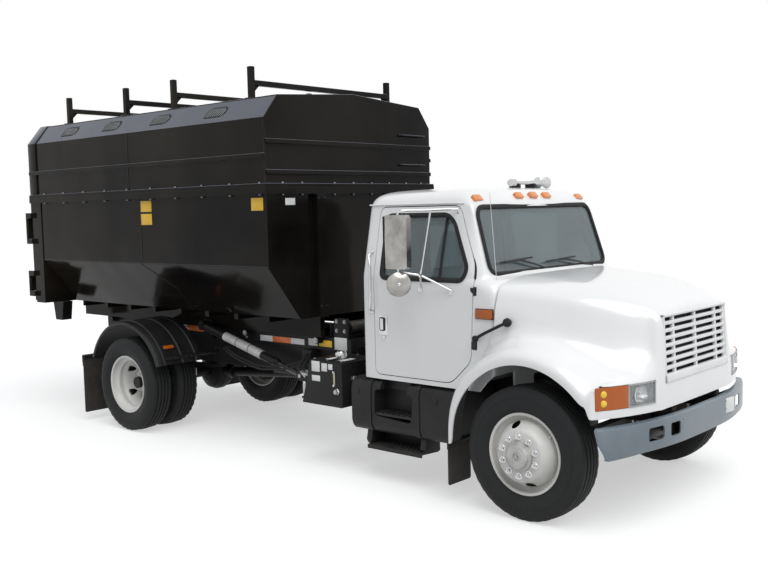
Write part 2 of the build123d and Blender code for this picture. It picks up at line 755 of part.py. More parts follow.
mirror_left = tube_run(upper_arm, arm_radius) + head + round_head
for leg in bracket_legs:
    mirror_left += tube_run(leg, arm_radius - 2)
mirror_left += Pos(*hub) * Sphere(arm_radius + 4)
mirror_left -= door_left
nodes["mirror_left"] = mirror_left
nodes["mirror_right"] = other_side(mirror_left)


# Hood: one shell with both front fenders, open below and behind
def hood_ring(x, half, shoulder_y, shoulder_z, crown_z, low_z, inset):
    """One cross-section of the hood's middle part."""
    half -= inset
    shoulder_y -= inset
    shoulder_z -= inset
    crown_z -= inset
    left = [(half, low_z), (half, shoulder_z - 130), (shoulder_y, shoulder_z)]
    side = Line((x, left[0][0], left[0][1]), (x, left[1][0], left[1][1]))
    knee = (half - 0.30 * (half - shoulder_y), shoulder_z - 40)
    corner = ThreePointArc((x, *left[1]), (x, *knee), (x, *left[2]))
    crown = ThreePointArc((x, *left[2]), (x, 0, crown_z), (x, -left[2][0], left[2][1]))
    corner_2 = ThreePointArc((x, -left[2][0], left[2][1]), (x, -knee[0], knee[1]), (x, -left[1][0], left[1][1]))
    side_2 = Line((x, -left[1][0], left[1][1]), (x, -left[0][0], left[0][1]))
    base = Line((x, -left[0][0], left[0][1]), (x, left[0][0], left[0][1]))
    return make_face([side, corner, crown, corner_2, side_2, base])


hood_nose_x = 740
hood_sections = (
    # x, half width, shoulder y, shoulder z, crown z
    (cab_front + hood_gap, 990, 770, 1704, 1728),
    (220, 830, 630, 1656, 1688),
    (640, 640, 545, 1548, 1580),
    (hood_nose_x, 590, 530, 1490, 1515),
)


def hood_form(inset):
    """The hood's outer form, as far inside its skin as the inset."""
    rings = [hood_ring(min(x, hood_nose_x - inset), a, b, c, d, 930, inset) for x, a, b, c, d in hood_sections]
    middle = loft(rings)
    nose = [(700, 805), (hood_front - inset, 805), (hood_front + 12 - inset, 990)]
    nose += [(hood_front - 15 - inset, 1462), (735 - inset, 1488 - inset), (600, 1488 - inset), (600, 805)]
    middle += side_prism(nose[1:], (-590 + inset, 590 - inset))
    fender = [
        (-660 + inset, 480 - inset),
        (-622 + inset, 800),
        (-505 + 0.8 * inset, 1010 - 0.6 * inset),
        (-352, 1150 - inset),
        (-200, 1235 - inset),
        (150, 1235 - inset),
        (400, 1160 - inset),
        (560, 1075 - inset),
        (800, 1040 - inset),
        (800, 812),
        (500, 812),
    ]
    wing = side_prism(fender, (450, fender_half_width - inset))
    plan = [
        (-700, 400),
        (hood_front + 10 - inset, 400),
        (hood_front - inset, 660),
        (705 - inset, 945),
        (640 - inset, 1100),
        (560 - inset, 1205),
        (-700, 1205),
    ]
    wing &= plan_prism(plan, (300, 1500))
    middle += both_sides(wing)
    return middle


hood_outer = hood_form(0)
hood_inner = hood_form(hood_wall) + slab((-2000, 700), (-570, 570), (300, 940))
hood_inner += slab((-700, cab_front + hood_gap + 1), (-960, 960), (940, 1560))
hood = hood_outer - hood_inner
arch = rod_y(*arch_center, arch_radius, (500, 1300))
hood -= both_sides(arch)
hood_inner_half = cab_half_width + knuckle_radius + 7
hood -= slab((-700, cab_front + hood_gap), (-hood_inner_half, hood_inner_half), (300, 1800))
grille_opening = slab((700, 900), (-520, 520), (990, 1462))
hood -= grille_opening
lamp_outline = [
    (790, 665),
    (690, 945),
    (590, 1203),
    (500, 1203),
    (500, 1100),
    (560, 960),
    (690, 665),
]
lamp_form = plan_prism(lamp_outline, (868, 1032))
lamp_block = lamp_form & hood_outer
hood -= both_sides(lamp_form)
lug_half = 16
lug_outline = [
    (hood_pivot[0] - lug_half, 960),
    (hood_pivot[0], 960),
    (hood_pivot[0] + 6, 800),
    (hood_pivot[0] + lug_half, 785),
    (hood_pivot[0] + lug_half, hood_pivot[1] - lug_half),
    (hood_pivot[0] - lug_half, hood_pivot[1] - lug_half),
]
lug = side_prism(lug_outline, (hinge_ear_y[1] + seat_gap, 415))
lug += side_prism(lug_outline, (355, hinge_ear_y[0] - seat_gap))
lug += rod_y(*hood_pivot, hood_pin_radius, (350, 420))
hood += both_sides(lug)
nodes["hood"] = hood
nodes["headlamps"] = both_sides(lamp_block)

# Grille: a slanted frame with eight rows of slots in four columns
grille_face = slab((742, 764), (-520, 520), (990, 1462))
column_edges = ((-500, -375), (-345, -15), (15, 345), (375, 500))
row_count = 8
row_pitch = 55
slot_height = 30
for row in range(row_count):
    low = 1018 + row * row_pitch
    for y0, y1 in column_edges:
        grille_face -= slab((700, 800), (y0, y1), (low, low + slot_height))
nodes["grille"] = grille_face


# Container body
def box_section(inset):
    return mirrored(
        [
            (box_low_half_width - inset, box_bottom + inset),
            (box_half_width - inset, crease_height),
            (box_half_width - inset, box_top + inset),
        ]
    )


body = cross_prism(box_section(0), (box_rear, box_front))
body -= cross_prism(box_section(box_wall), (box_rear - 10, box_front - box_wall))
body -= slab((box_rear, box_front - box_wall), (-1100, 1100), (box_top - 60, box_top + 100))
flange_half = 1180
flange = slab((box_rear, box_front + 30), (-flange_half, flange_half), (box_top, lid_bottom))
flange -= slab((box_rear - 1, box_front - box_wall), (-1095, 1095), (box_top - 10, lid_bottom + 10))
body += flange
frame_ring = slab(
    (box_rear, box_rear + rear_frame_depth),
    (-rear_frame_half_width, rear_frame_half_width),
    (box_bottom, lid_bottom),
)
frame_ring -= slab(
    (box_rear - 1, box_rear + rear_frame_depth - 10), (-1040, 1040), (box_bottom + 70, lid_bottom + 10)
)
frame_ring -= cross_prism(box_section(box_wall), (box_rear - 10, box_rear + rear_frame_depth + 10))
frame_ring -= slab((box_rear - 1, box_rear + 300), (-1040, 1040), (box_top - 200, lid_bottom + 10))
body += frame_ring
for y in (-520, 520):
    body += slab((box_front, box_front + 60), (y - 58, y + 58), (box_bottom, box_top))
for side in (-1, 1):
    inner = side * sill_inner_y
    outer_y = side * (sill_inner_y + sill_width)
    body += slab((box_rear, box_front), sorted((inner, outer_y)), (sill_bottom, box_bottom + 5))
    skid = [(box_rear + 30, box_bottom), (box_rear + 70, 1045), (box_rear + 210, 1045), (box_rear + 250, box_bottom)]
    body += side_prism(skid, sorted((side * 840, side * 960)))
floor_bar_count = 8
floor_bar_pitch = (box_front - box_rear - 2 * rear_frame_depth) / floor_bar_count
for number in range(floor_bar_count):
    x = box_rear + 1.8 * rear_frame_depth + number * floor_bar_pitch
    body += slab((x - 30, x + 30), (20 - box_low_half_width, box_low_half_width - 20), (box_bottom - 60, box_bottom + 5))
nodes["container_body"] = body


# Container lid: chamfered hood, open below and at the rear
def lid_section(inset):
    return mirrored(
        [
            (1146 - inset, lid_bottom),
            (1146 - inset, lid_chamfer_low - inset / 2),
            (lid_eave_half_width - inset / 2, lid_eave_height - inset),
            (1, lid_ridge_height - inset),
        ]
    )


lid = cross_prism(lid_section(0), (box_rear, box_front))
lid -= cross_prism(lid_section(box_wall), (box_rear - 10, box_front - box_wall))
lid_flange = slab((box_rear, box_front + 30), (-flange_half, flange_half), (lid_bottom, lid_bottom + 20))
lid_flange -= slab((box_rear - 1, box_front - box_wall), (-1100, 1100), (lid_bottom - 1, lid_bottom + 30))
lid += lid_flange
side_rib = slab((box_rear, box_front), (1140, 1171), (2725, 2765))
lid += both_sides(side_rib)
for z in (2600, 2870):
    lid += slab((box_front, box_front + 25), (-1140, 1140), (z - 20, z + 20))
nodes["container_lid"] = lid

# Ladder racks over the lid
rack_places = (box_front - 392, -4208, -5030, box_rear + 548)
rack_tube = 50
rack_y = 932
rack_top = 3572
racks = []
for x in rack_places:
    foot_z = lid_eave_height + (lid_ridge_height - lid_eave_height) * (1 - rack_y / lid_eave_half_width)
    post = slab(
        (x - rack_tube / 2, x + rack_tube / 2), (rack_y - rack_tube / 2, rack_y + rack_tube / 2), (3200, rack_top)
    )
    rack = both_sides(post)
    rack += slab((x - rack_tube / 2, x + rack_tube / 2), (-rack_y, rack_y), (3400, 3400 + rack_tube))
    racks.append(rack - cross_prism(lid_section(0), (x - 100, x + 100)))
nodes["ladder_racks"] = Part() + racks

# Barn doors at the rear, hung on the outer corners
door_x = (box_rear - 3 - box_door_thickness, box_rear - 3)
hinge_x = box_rear - box_door_thickness - box_hinge_radius
leaf = slab(door_x, (4, box_hinge_y - 40), (box_bottom + 20, box_door_top))
for z in (1500, 1880, box_door_top - 102):
    leaf += slab((door_x[0] - 18, door_x[0]), (40, box_hinge_y - 60), (z - 25, z + 25))
for z0, z1 in ((1335, 1630), (1940, 2295)):
    leaf += rod_z(hinge_x, box_hinge_y, box_hinge_radius, (z0 + 60, z1 - 60))
    leaf += slab((hinge_x - 8, hinge_x + 12), (box_hinge_y - 80, box_hinge_y), (z0 + 60, z1 - 60))
nodes["container_door_left"] = leaf
nodes["container_door_right"] = other_side(leaf)
for z0, z1 in ((1335, 1630), (1940, 2295)):
    for low, high in ((z0, z0 + 60 - seat_gap), (z1 - 60 + seat_gap, z1)):
        ear = rod_z(hinge_x, box_hinge_y, box_hinge_radius, (low, high))
        ear += slab((hinge_x, box_rear + 30), (rear_frame_half_width - 10, box_hinge_y + 20), (low, high))
        nodes["container_body"] += both_sides(ear)

os.makedirs("parts", exist_ok=True)
for name, shape in nodes.items():
    export_step(Pos(shift_x, 0, 0) * shape, f"parts/{name}.step")
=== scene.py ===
from math import atan2, cos, pi, radians, sin, sqrt

import bmesh
import bpy
from mathutils import Matrix, Vector


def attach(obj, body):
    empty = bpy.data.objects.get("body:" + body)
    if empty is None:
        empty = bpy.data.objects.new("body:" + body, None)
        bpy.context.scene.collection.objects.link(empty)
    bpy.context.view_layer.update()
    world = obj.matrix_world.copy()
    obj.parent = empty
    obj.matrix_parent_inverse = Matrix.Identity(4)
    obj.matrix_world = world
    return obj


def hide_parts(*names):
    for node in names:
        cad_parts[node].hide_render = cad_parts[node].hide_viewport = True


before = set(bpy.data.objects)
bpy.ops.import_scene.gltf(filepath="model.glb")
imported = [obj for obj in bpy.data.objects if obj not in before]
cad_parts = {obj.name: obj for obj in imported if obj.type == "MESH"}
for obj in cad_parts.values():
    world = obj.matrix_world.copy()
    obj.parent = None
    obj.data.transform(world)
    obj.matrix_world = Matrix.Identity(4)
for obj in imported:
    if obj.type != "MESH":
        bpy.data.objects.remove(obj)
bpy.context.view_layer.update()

# The camera stands at the truck's right front corner, a little above eye level, and looks
# slightly down. Its place, turn and lens come from points measured on the photograph.
front_axle_x = 2.970
camera_place = Vector((3.7556 + front_axle_x, -6.8364, 2.2567))
turn = radians(41.8443)
tilt_down = radians(4.848)
roll = radians(-1.3244)
back = Vector((sin(turn) * cos(tilt_down), -cos(turn) * cos(tilt_down), sin(tilt_down)))
level = Vector((cos(turn), sin(turn), 0))
upright = back.cross(level)
right = level * cos(roll) + upright * sin(roll)
up = upright * cos(roll) - level * sin(roll)
camera_data = bpy.data.cameras.new("photo_camera")
camera_data.lens = 45.291
camera_data.sensor_width = 36.0
camera_data.shift_x = 0.00583
camera_data.shift_y = 0.00308
camera_data.clip_end = 200.0
camera = bpy.data.objects.new("photo_camera", camera_data)
bpy.context.collection.objects.link(camera)
facing = Matrix((right, up, back)).transposed()
camera.matrix_world = Matrix.Translation(camera_place) @ facing.to_4x4()
bpy.context.scene.camera = camera
bpy.context.scene.view_settings.view_transform = "Standard"

# An overcast yard: a bright even sky, and the light side of the sky, high up ahead of the truck,
# as one very soft sun. The sky shows as plain white to the eye and in bright metal.
sky_light = 0.42
sky_colour = (0.93, 0.97, 1.0, 1)


def add_node(tree, kind, **values):
    """Adds a shader node, with values for its named sockets (an underscore stands for a space)."""
    node = tree.nodes.new("ShaderNode" + kind)
    for name, value in values.items():
        node.inputs[name.replace("_", " ")].default_value = value
    return node


def add_math(tree, operation, first, second):
    """Adds a sum of two sockets, and gives its result."""
    node = tree.nodes.new("ShaderNodeMath")
    node.operation = operation
    tree.links.new(first, node.inputs[0])
    tree.links.new(second, node.inputs[1])
    return node.outputs[0]


world = bpy.data.worlds.new("sky")
bpy.context.scene.world = world
world.use_nodes = True
sky = world.node_tree
sky.nodes.clear()
sky_out = add_node(sky, "OutputWorld")
sky_soft = add_node(sky, "Background", Color=sky_colour, Strength=sky_light)
sky_white = add_node(sky, "Background", Color=(1, 1, 1, 1), Strength=1.0)
ray = add_node(sky, "LightPath").outputs
seen_through = add_math(sky, "MAXIMUM", ray["Is Glossy Ray"], ray["Is Transmission Ray"])
seen = add_math(sky, "MAXIMUM", seen_through, ray["Is Camera Ray"])
sky_mix = add_node(sky, "MixShader")
sky.links.new(seen, sky_mix.inputs[0])
sky.links.new(sky_soft.outputs[0], sky_mix.inputs[1])
sky.links.new(sky_white.outputs[0], sky_mix.inputs[2])
sky.links.new(sky_mix.outputs[0], sky_out.inputs["Surface"])
soft_sun = bpy.data.lights.new("soft_sun", "SUN")
soft_sun.energy = 2.3
soft_sun.angle = radians(55)
soft_sun_object = bpy.data.objects.new("soft_sun", soft_sun)
bpy.context.collection.objects.link(soft_sun_object)
soft_sun_object.rotation_euler = Vector((0.60, -0.26, 1.0)).to_track_quat("Z", "Y").to_euler()

# The yard floor: flat pale concrete under the tyres, white where nothing shades it.
floor_half = 40.0
floor_glow = 0.52
floor_mesh = bpy.data.meshes.new("floor")
floor_corners = [(-floor_half, -floor_half, 0), (floor_half, -floor_half, 0), (floor_half, floor_half, 0)]
floor_corners.append((-floor_half, floor_half, 0))
floor_mesh.from_pydata(floor_corners, [], [(0, 1, 2, 3)])
floor = bpy.data.objects.new("floor", floor_mesh)
bpy.context.collection.objects.link(floor)
concrete = bpy.data.materials.new("pale_concrete")
concrete.use_nodes = True
yard = concrete.node_tree
yard.nodes.clear()
yard_out = add_node(yard, "OutputMaterial")
concrete_face = add_node(yard, "BsdfDiffuse", Color=(0.55, 0.55, 0.55, 1))
glow = add_node(yard, "Emission", Color=(1, 1, 1, 1))
ray = add_node(yard, "LightPath").outputs
seen = add_math(yard, "MAXIMUM", ray["Is Camera Ray"], ray["Is Glossy Ray"])
glow_amount = yard.nodes.new("ShaderNodeMath")
glow_amount.operation = "MULTIPLY"
glow_amount.inputs[1].default_value = floor_glow
yard.links.new(seen, glow_amount.inputs[0])
yard.links.new(glow_amount.outputs[0], glow.inputs["Strength"])
lit_floor = add_node(yard, "AddShader")
yard.links.new(concrete_face.outputs[0], lit_floor.inputs[0])
yard.links.new(glow.outputs[0], lit_floor.inputs[1])
yard.links.new(lit_floor.outputs[0], yard_out.inputs["Surface"])
floor_mesh.materials.append(concrete)


# Ladder frame, cross members, springs, axles and drive line: rolled and forged steel, painted
# black in one go and dusty low down. Riveted and bolted together, they stay as the solids are.
rear_axle_x = -4.870
road_dust = (0.17, 0.155, 0.135)


def noise(tree, scale, detail):
    """A soft noise over the piece, at so many waves a metre."""
    place = add_node(tree, "TexCoord")
    texture = add_node(tree, "TexNoise", Scale=scale, Detail=detail)
    tree.links.new(place.outputs["Object"], texture.inputs["Vector"])
    return texture.outputs["Fac"]


def stretched(tree, value, **ends):
    """Stretches a value's range to another."""
    node = add_node(tree, "MapRange", **ends)
    tree.links.new(value, node.inputs["Value"])
    return node.outputs["Result"]


def layer(tree, amount, over):
    """A colour laid over another one by an amount; the colour below goes in at A."""
    node = tree.nodes.new("ShaderNodeMix")
    node.data_type = "RGBA"
    node.inputs["B"].default_value = (*over, 1)
    tree.links.new(amount, node.inputs["Factor"])
    return node


def relief(tree, height, strength, depth):
    """A surface raised by a texture, to a depth in metres."""
    node = add_node(tree, "Bump", Strength=strength, Distance=depth)
    tree.links.new(height, node.inputs["Height"])
    return node


def finish(name, low, high, rough, patch=1.4, grain=70.0, depth=0.0006, metal=0.0, coat=0.0,
           dust=0.0, ripple=0.0, shine=0.5):
    """A painted, moulded or metal surface: patchy colour, uneven gloss, fine grain, road dust."""
    surface = bpy.data.materials.new(name)
    surface.use_nodes = True
    tree = surface.node_tree
    links = tree.links
    shader = tree.nodes["Principled BSDF"]
    shader.inputs["Metallic"].default_value = metal
    shader.inputs["Specular IOR Level"].default_value = shine
    shader.inputs["Coat Weight"].default_value = coat
    shader.inputs["Coat Roughness"].default_value = 0.06
    patches = noise(tree, patch, 5.0)
    colour = layer(tree, stretched(tree, patches, From_Min=0.3, From_Max=0.7), high)
    colour.inputs["A"].default_value = (*low, 1)
    painted = colour.outputs["Result"]
    if dust:
        split = add_node(tree, "SeparateXYZ")
        links.new(add_node(tree, "TexCoord").outputs["Object"], split.inputs["Vector"])
        near_road = stretched(tree, split.outputs["Z"], From_Min=0.1, From_Max=1.1, To_Min=dust, To_Max=0.0)
        dusty = layer(tree, add_math(tree, "MULTIPLY", near_road, noise(tree, 9.0, 8.0)), road_dust)
        links.new(painted, dusty.inputs["A"])
        painted = dusty.outputs["Result"]
    links.new(painted, shader.inputs["Base Color"])
    links.new(stretched(tree, patches, To_Min=rough[0], To_Max=rough[1]), shader.inputs["Roughness"])
    grains = relief(tree, noise(tree, grain, 3.0), 0.5, depth)
    if ripple:
        buckle = relief(tree, noise(tree, 1.7, 1.0), 1.0, ripple)
        links.new(buckle.outputs["Normal"], grains.inputs["Normal"])
    links.new(grains.outputs["Normal"], shader.inputs["Normal"])
    return surface


def dress(surface, *names):
    """Gives CAD nodes, which stay as they are, a surface."""
    for name in names:
        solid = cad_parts[name]
        if not solid.material_slots:
            solid.data.materials.append(surface)
        for socket in solid.material_slots:
            socket.material = surface


def soften(name, width):
    """Rounds the edges of a CAD node, as welded and painted plate has them."""
    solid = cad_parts[name]
    joined = solid.modifiers.new("joined", "WELD")
    joined.merge_threshold = 0.00005
    rounded = solid.modifiers.new("rounded", "BEVEL")
    rounded.width = width
    rounded.segments = 2
    rounded.limit_method = "ANGLE"
    rounded.angle_limit = radians(32)
    rounded.harden_normals = True


frame_black = finish("frame_black", (0.007, 0.007, 0.008), (0.015, 0.015, 0.015), (0.30, 0.55),
                     dust=0.15, shine=0.18)
cast_iron = finish("cast_iron", (0.05, 0.048, 0.045), (0.10, 0.09, 0.08), (0.5, 0.8), grain=160.0,
                   depth=0.0015, metal=0.4, dust=0.6, shine=0.2)
dress(frame_black, "frame_rails", "crossmembers", "hoist_subframe", "front_axle", "rear_axle")
dress(frame_black, "leaf_springs", "driveshaft")
dress(cast_iron, "engine", "exhaust", "knuckle_left", "knuckle_right")
for name in ("frame_rails", "crossmembers", "hoist_subframe"):
    soften(name, 0.003)

# The U-bolts that clamp each spring to its axle: bare steel bars bent round the pack, with a plate
# across their top.


class Shape:
    """One piece in the making, in metres from the front axle; each form joins the same mesh."""

    def __init__(self):
        self.points = []
        self.faces = []
        self.slots = []

    def take(self, form, slot=0):
        """Adds a bmesh's faces, and frees it."""
        form.verts.index_update()
        first = len(self.points)
        self.points += [tuple(point.co) for point in form.verts]
        for face in form.faces:
            self.faces.append([first + point.index for point in face.verts])
            self.slots.append(slot)
        form.free()

    def prism(self, outline, axis, span, round_off=0.0, slot=0, steps=2):
        """An outline in the plane across an axis, drawn out along it, with rounded edges."""
        form = bmesh.new()
        ends = []
        for along in span:
            ring = []
            for first, second in outline:
                if axis == "x":
                    place = (along, first, second)
                elif axis == "y":
                    place = (first, along, second)
                else:
                    place = (first, second, along)
                ring.append(form.verts.new(place))
            ends.append(ring)
        count = len(outline)
        form.faces.new(ends[0])
        form.faces.new(ends[1][::-1])
        for at in range(count):
            after = (at + 1) % count
            form.faces.new((ends[0][at], ends[1][at], ends[1][after], ends[0][after]))
        if round_off:
            bmesh.ops.bevel(form, geom=form.edges[:], offset=round_off, segments=steps,
                            profile=0.5, affect="EDGES", clamp_overlap=True)
        bmesh.ops.recalc_face_normals(form, faces=form.faces[:])
        self.take(form, slot)

    def block(self, x, y, z, round_off=0.0, slot=0, steps=2):
        """A block between two values of x, y and z, with rounded edges."""
        outline = [(x[0], y[0]), (x[1], y[0]), (x[1], y[1]), (x[0], y[1])]
        self.prism(outline, "z", z, round_off, slot, steps)

    def turned(self, profile, place, axis, slot=0, count=32, scale=(1, 1)):
        """A profile of (along, radius) points turned round an axis through a place."""
        form = bmesh.new()
        rings = []
        closed = profile[0] == profile[-1] and profile[0][1] > 0
        for along, radius in profile[:-1] if closed else profile:
            ring = []
            if radius < 1e-6:
                ring.append(form.verts.new(self.turn_point(place, axis, along, 0, 0)))
            else:
                for step in range(count):
                    angle = 2 * pi * step / count
                    across = radius * cos(angle) * scale[0]
                    over = radius * sin(angle) * scale[1]
                    ring.append(form.verts.new(self.turn_point(place, axis, along, across, over)))
            rings.append(ring)
        for first, second in zip(rings, rings[1:] + rings[:1] if closed else rings[1:]):
            for step in range(count):
                after = (step + 1) % count
                corners = [first[step % len(first)], second[step % len(second)]]
                corners += [second[after % len(second)], first[after % len(first)]]
                unique = []
                for corner in corners:
                    if corner not in unique:
                        unique.append(corner)
                if len(unique) > 2:
                    form.faces.new(unique)
        for ring in () if closed else (rings[0], rings[-1]):
            if len(ring) > 2:
                form.faces.new(ring)
        bmesh.ops.remove_doubles(form, verts=form.verts[:], dist=1e-6)
        bmesh.ops.recalc_face_normals(form, faces=form.faces[:])
        self.take(form, slot)

    @staticmethod
    def turn_point(place, axis, along, across, over):
        x, y, z = place
        if axis == "x":
            return (x + along, y + across, z + over)
        if axis == "y":
            return (x + across, y + along, z + over)
        return (x + across, y + over, z + along)

    def bar(self, start, end, radius, slot=0, count=12):
        """A straight round bar between two points."""
        self.tube([start, end], radius, slot=slot, count=count)

    def tube(self, points, radius, bend=0.0, slot=0, count=12, flat=1.0):
        """A round tube along points, its corners bent to a radius; its ends are closed."""
        line = [Vector(point) for point in points]
        if bend:
            line = rounded_line(line, bend)
        form = bmesh.new()
        heading = (line[1] - line[0]).normalized()
        aside = heading.orthogonal().normalized()
        rings = []
        for at, centre in enumerate(line):
            before = line[max(at - 1, 0)]
            after = line[min(at + 1, len(line) - 1)]
            heading = (after - before).normalized()
            aside = (aside - heading * aside.dot(heading)).normalized()
            beyond = heading.cross(aside)
            ring = []
            for step in range(count):
                angle = 2 * pi * step / count
                spot = centre + aside * (radius * cos(angle)) + beyond * (radius * flat * sin(angle))
                ring.append(form.verts.new(spot))
            rings.append(ring)
        for first, second in zip(rings, rings[1:]):
            for step in range(count):
                after = (step + 1) % count
                form.faces.new((first[step], first[after], second[after], second[step]))
        form.faces.new(rings[0])
        form.faces.new(rings[-1])
        bmesh.ops.recalc_face_normals(form, faces=form.faces[:])
        self.take(form, slot)

    def loft(self, rings, slot=0, closed=True, around=False, caps=False):
        """Faces between rings of points, closed or open; the last joins the first, or both get caps."""
        first = len(self.points)
        size = len(rings[0])
        for ring in rings:
            self.points += ring
        for at in range(len(rings) if around else len(rings) - 1):
            here = first + at * size
            there = first + (at + 1) % len(rings) * size
            for step in range(size if closed else size - 1):
                after = (step + 1) % size
                self.faces.append([here + step, here + after, there + after, there + step])
                self.slots.append(slot)
        if caps:
            self.faces += [list(range(first, first + size)), list(range(there, there + size))]
            self.slots += [slot, slot]

    def join(self, part, move=None, flip=False):
        """Adds another shape, its points moved by a function and its faces turned where asked."""
        first = len(self.points)
        self.points += [move(*point) for point in part.points] if move else list(part.points)
        self.faces += [[first + at for at in (face[::-1] if flip else face)] for face in part.faces]
        self.slots += list(part.slots)

    def both(self):
        """The piece and its mirror image as one."""
        twin = Shape()
        twin.join(self, lambda x, y, z: (x, -y, z), flip=True)
        self.join(twin)
        return self

    def done(self, name, body, slot, surfaces, replaces=(), crease=35.0):
        """Makes the Blender object, dresses it, and says what it rides on and replaces."""
        mesh = bpy.data.meshes.new(name)
        mesh.from_pydata([(x + front_axle_x, y, z) for x, y, z in self.points], [], self.faces)
        piece = bpy.data.objects.new(name, mesh)
        bpy.context.collection.objects.link(piece)
        for surface in surfaces:
            mesh.materials.append(surface)
        mesh.polygons.foreach_set("material_index", self.slots)
        form = bmesh.new()
        form.from_mesh(mesh)
        bmesh.ops.recalc_face_normals(form, faces=form.faces[:])
        form.to_mesh(mesh)
        form.free()
        mesh.polygons.foreach_set("use_smooth", [True] * len(self.faces))
        mesh.set_sharp_from_angle(angle=radians(crease))
        mesh.update()
        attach(piece, body)
        if replaces:
            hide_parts(*replaces)
        return piece


def rounded_line(line, bend):
    """The line with each inner corner swung round in a short curve."""
    smooth = [line[0]]
    for before, corner, after in zip(line, line[1:], line[2:]):
        reach = min(bend, (corner - before).length * 0.45, (after - corner).length * 0.45)
        enter = corner + (before - corner).normalized() * reach
        leave = corner + (after - corner).normalized() * reach
        for step in range(7):
            t = step / 6
            smooth.append(enter * (1 - t) ** 2 + corner * (2 * t * (1 - t)) + leave * t ** 2)
    smooth.append(line[-1])
    return smooth


def side_span(way, near, far):
    """The two values of y, in order, of a piece on the left (1) or right (-1) side."""
    return sorted((way * near, way * far))


def ring_of_bolts(shape, places, axis, radius, height, slot=0, count=6):
    """Hexagon bolt heads at the places, standing out along an axis by the height."""
    for place in places:
        shape.turned([(0, 0), (0, radius), (height * 0.8, radius), (height, radius * 0.8), (height, 0)],
                     place, axis, slot, count)


bare_steel = finish("bare_steel", (0.28, 0.28, 0.29), (0.42, 0.42, 0.43), (0.3, 0.5), metal=1.0,
                    grain=200.0)
clamps = Shape()
for axle_x, seat_z in ((0.0, 0.500), (rear_axle_x, 0.570)):
    for offset in (-0.075, 0.075):
        for y in (0.348, 0.436):
            clamps.bar((axle_x + offset, y, seat_z - 0.10), (axle_x + offset, y, seat_z + 0.075), 0.010)
        clamps.bar((axle_x + offset, 0.345, seat_z + 0.070), (axle_x + offset, 0.439, seat_z + 0.070),
                   0.010)
    clamps.block((axle_x - 0.05, axle_x + 0.05), (0.352, 0.432), (seat_z + 0.058, seat_z + 0.078), 0.004)
clamps.both().done("spring_clamps", "chassis", "steel", [bare_steel])

# Tyres: black rubber on steel belts, moulded with ribs on the sidewall, five tread ribs and a
# notched shoulder. Each sits with its beads on the rim; the rear ones run in pairs.
rubber = finish("tyre_rubber", (0.008, 0.009, 0.010), (0.017, 0.018, 0.019), (0.55, 0.8), grain=240.0,
                depth=0.0008, dust=0.08, shine=0.25)
wheel_radius = 0.490
half_side = [(0.082, 0.284), (0.097, 0.300), (0.100, 0.306), (0.112, 0.320), (0.1205, 0.345)]
half_side += [(0.1225, 0.349), (0.1262, 0.380), (0.1272, 0.396), (0.1248, 0.399), (0.1246, 0.405)]
half_side += [(0.1268, 0.408), (0.1240, 0.430), (0.1190, 0.452), (0.1165, 0.4545), (0.1085, 0.472)]
half_side += [(0.1020, 0.4815), (0.0975, 0.4845)]


def tread_line():
    """Half of the tread, from the shoulder to the middle, with its grooves."""
    line = []
    for groove in (0.060, 0.020):
        for offset, depth in ((0.0075, 0), (0.0045, 0.013), (-0.0045, 0.013), (-0.0075, 0)):
            spot = groove + offset
            line.append((spot, wheel_radius - 0.00045 * (spot / 0.02) ** 2 - depth))
    return line


def tyre(place_x, y, notch):
    """One tyre standing on the ground, as a closed ring with notches of a depth across its shoulders."""
    half = half_side + tread_line()
    profile = [(-along, radius) for along, radius in half] + half[::-1]
    rings = []
    count = 120
    for step in range(count):
        angle = 2 * pi * step / count
        ring = []
        for along, radius in profile:
            if 0.097 < abs(along) < 0.110 and step % 3 == 0:
                radius -= notch
                along *= 1 - 2 * notch
            if abs(along) < 0.097 and radius > 0.48 and step % 3 == 0:
                radius -= 0.2 * notch
            ring.append((place_x + radius * cos(angle), y + along, wheel_radius + radius * sin(angle)))
        rings.append(ring)
    shape = Shape()
    shape.loft(rings, around=True)
    return shape


# Disc wheels: pressed steel painted white, a drop-centre rim with the disc welded in, two oval
# hand holes and ten chromed nuts on studs. The front disc bulges out, the rear ones face in.
wheel_paint = finish("wheel_paint", (0.62, 0.61, 0.58), (0.76, 0.75, 0.73), (0.28, 0.5), patch=5.0,
                     grain=120.0, depth=0.0005, coat=0.2, dust=0.25)
chrome = finish("chrome", (0.52, 0.53, 0.54), (0.66, 0.66, 0.66), (0.06, 0.16), patch=8.0, grain=300.0,
                depth=0.0001, metal=1.0)
hub_grey = finish("hub_grey", (0.40, 0.40, 0.39), (0.58, 0.57, 0.55), (0.35, 0.6), patch=14.0, grain=150.0,
                  metal=0.3, dust=0.2)


def carve(piece, cutter, kind="DIFFERENCE"):
    """Cuts a shape out of a piece for good, or keeps only what lies inside it."""
    tool_mesh = bpy.data.meshes.new("cutter")
    tool_mesh.from_pydata([(x + front_axle_x, y, z) for x, y, z in cutter.points], [], cutter.faces)
    form = bmesh.new()
    form.from_mesh(tool_mesh)
    bmesh.ops.recalc_face_normals(form, faces=form.faces[:])
    form.to_mesh(tool_mesh)
    form.free()
    tool = bpy.data.objects.new("cutter", tool_mesh)
    bpy.context.collection.objects.link(tool)
    cut = piece.modifiers.new("cut", "BOOLEAN")
    cut.operation = kind
    cut.solver = "EXACT"
    cut.object = tool
    settle(piece)
    bpy.data.objects.remove(tool)
    bpy.data.meshes.remove(tool_mesh)


